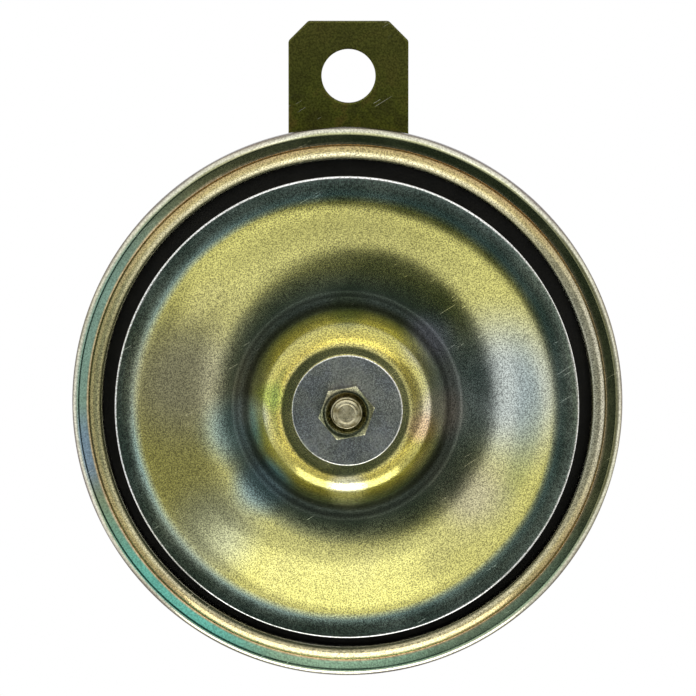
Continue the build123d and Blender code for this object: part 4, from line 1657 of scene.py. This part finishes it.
@dataclass(frozen=True)
class Cloth:
    """A cloth hung out of sight, which the metal mirrors as a soft-edged patch; metres."""

    name: str
    place: Place
    half_size: Point
    tone: Colour
    core: float = 0.62
    edge: float = 0.99

    def build(self) -> None:
        """Hang the cloth square to the horn and fade its edge."""
        cloth = round_sheet(self.name, corners=64)
        cloth.scale = (*self.half_size, 1.0)
        bpy.ops.object.transform_apply(scale=True)
        face_horn(cloth, self.place, "Z")
        r = Recipe(self.name)
        tone = r.add("ShaderNodeEmission")
        r.feed(tone.inputs["Color"], self.tone)
        share = r.reckon("DIVIDE", r.place, (*self.half_size, 1.0)).outputs[0]
        reach = r.reckon("LENGTH", share).outputs["Value"]
        cloth.data.materials.append(r.fade_out(tone.outputs[0], reach, self.core, self.edge))
        cloth.visible_camera = False
        cloth.visible_shadow = False


@dataclass(frozen=True)
class Lamp:
    """A soft rectangular lamp that faces the horn, as bright as radiance times white; metres."""

    name: str
    place: Place
    size: Point
    radiance: float
    tint: Colour

    def build(self) -> None:
        """Hang the lamp out of sight."""
        lamp = bpy.data.lights.new(self.name, "AREA")
        lamp.shape = "RECTANGLE"
        lamp.size, lamp.size_y = self.size
        lamp.energy = self.radiance * math.pi * math.prod(self.size)
        lamp.color = self.tint
        holder = bpy.data.objects.new(self.name, lamp)
        bpy.context.scene.collection.objects.link(holder)
        face_horn(holder, self.place, "-Z")
        holder.visible_camera = False


@dataclass
class Studio:
    """A white room with a pale floor, soft lamps, and the dark side that the camera stands in."""

    floor_level: float = -0.20
    floor_core: float = 0.15
    floor_radius: float = 0.30
    floor_edge: float = 0.98
    floor_tones: tuple[Colour, Colour] = ((0.86, 0.86, 0.85), (0.90, 0.90, 0.89))
    floor_clouds: Clouds = Clouds(30.0)
    white: float = 1.0
    fill: float = 0.75
    cloths: tuple[Cloth, ...] = (
        Cloth("black_cloth", (-0.18, -1.70, -0.46), (0.54, 0.84), (0.040, 0.058, 0.052), 0.6),
        Cloth("right_cloth", (0.81, -1.04, -0.05), (0.80, 0.74), (0.33, 0.33, 0.30)),
        Cloth("left_cloth", (-1.02, -0.84, -0.05), (0.50, 0.75), (0.62, 0.68, 0.72), 0.6),
    )
    lamps: tuple[Lamp, ...] = (
        Lamp("overhead", (0.12, -0.86, 0.45), (0.80, 0.42), 0.64, (1.0, 0.99, 0.95)),
        Lamp("low_front", (0.0, -0.06, -0.19), (0.20, 0.07), 2.2, WHITE),
    )

    def build_world(self) -> None:
        """White to the eye and in reflections, a little lower as fill light."""
        world = bpy.data.worlds.new("white_room")
        bpy.context.scene.world = world
        world.use_nodes = True
        mixer = Mixer(world.node_tree)
        rays = mixer.add("ShaderNodeLightPath").outputs
        seen = mixer.sum("ADD", rays["Is Camera Ray"], rays["Is Glossy Ray"])
        seen = mixer.sum("ADD", seen, rays["Is Transmission Ray"], use_clamp=True)
        lights = []
        for strength in (self.fill, self.white):
            light = mixer.add("ShaderNodeBackground")
            mixer.feed(light.inputs["Color"], WHITE)
            mixer.feed(light.inputs["Strength"], strength)
            lights.append(light.outputs[0])
        mixer.close(mixer.pick(seen, *lights), "ShaderNodeOutputWorld")

    def build_floor(self) -> None:
        """A round pale floor that fades into the white room at its edge."""
        floor = round_sheet("pale_floor", corners=96, radius=self.floor_radius)
        floor.location.z = self.floor_level
        r = Recipe("pale_floor")
        diffuse = r.add("ShaderNodeBsdfDiffuse")
        r.feed(diffuse.inputs["Color"], r.blend(r.noise(self.floor_clouds), *self.floor_tones))
        reach = r.reckon("LENGTH", r.place).outputs["Value"]
        end = self.floor_radius * self.floor_edge
        floor.data.materials.append(r.fade_out(diffuse.outputs[0], reach, self.floor_core, end))

    def build(self) -> None:
        """Set up the room."""
        self.build_world()
        self.build_floor()
        for thing in (*self.cloths, *self.lamps):
            thing.build()
            LOG.info("%s is up", thing.name)


@dataclass
class Camera:
    """A long lens nearly square to the tone disc, a little above it; degrees, metres and millimetres."""

    azimuth: float = 0.434
    elevation: float = 5.482
    distance: float = 1.106
    aim_across: float = 0.127
    aim_height: float = -42.967
    aim_depth: float = -27.4
    lens: float = 350.27
    sensor: float = 36.0

    def build(self) -> None:
        """Place the camera and make it the scene's."""
        data = bpy.data.cameras.new("camera")
        data.lens = self.lens
        data.sensor_width = self.sensor
        holder = bpy.data.objects.new("camera", data)
        bpy.context.scene.collection.objects.link(holder)
        turn, rise = math.radians(self.azimuth), math.radians(self.elevation)
        away = Vector((math.sin(turn) * math.cos(rise), -math.cos(turn) * math.cos(rise), math.sin(rise)))
        aim = Vector((self.aim_across, self.aim_depth, self.aim_height)) * MM
        holder.location = aim + away * self.distance
        holder.rotation_euler = (-away).to_track_quat("-Z", "Y").to_euler()
        bpy.context.scene.camera = holder


def main() -> None:
    """Build the horn's sub-assemblies in order, then the studio and the camera."""
    logging.basicConfig(level=logging.INFO, format="%(message)s")
    bpy.context.scene.view_settings.view_transform = "Standard"
    Camera().build()
    PlainParts().build()
    for assembly in (Housing(), ToneDisc(), Armature(), Bracket(), RearFastening(), AdjustingScrew()):
        assembly.build()
        LOG.info("%s done", type(assembly).__name__)
    Studio().build()


if __name__ == "__main__":
    main()
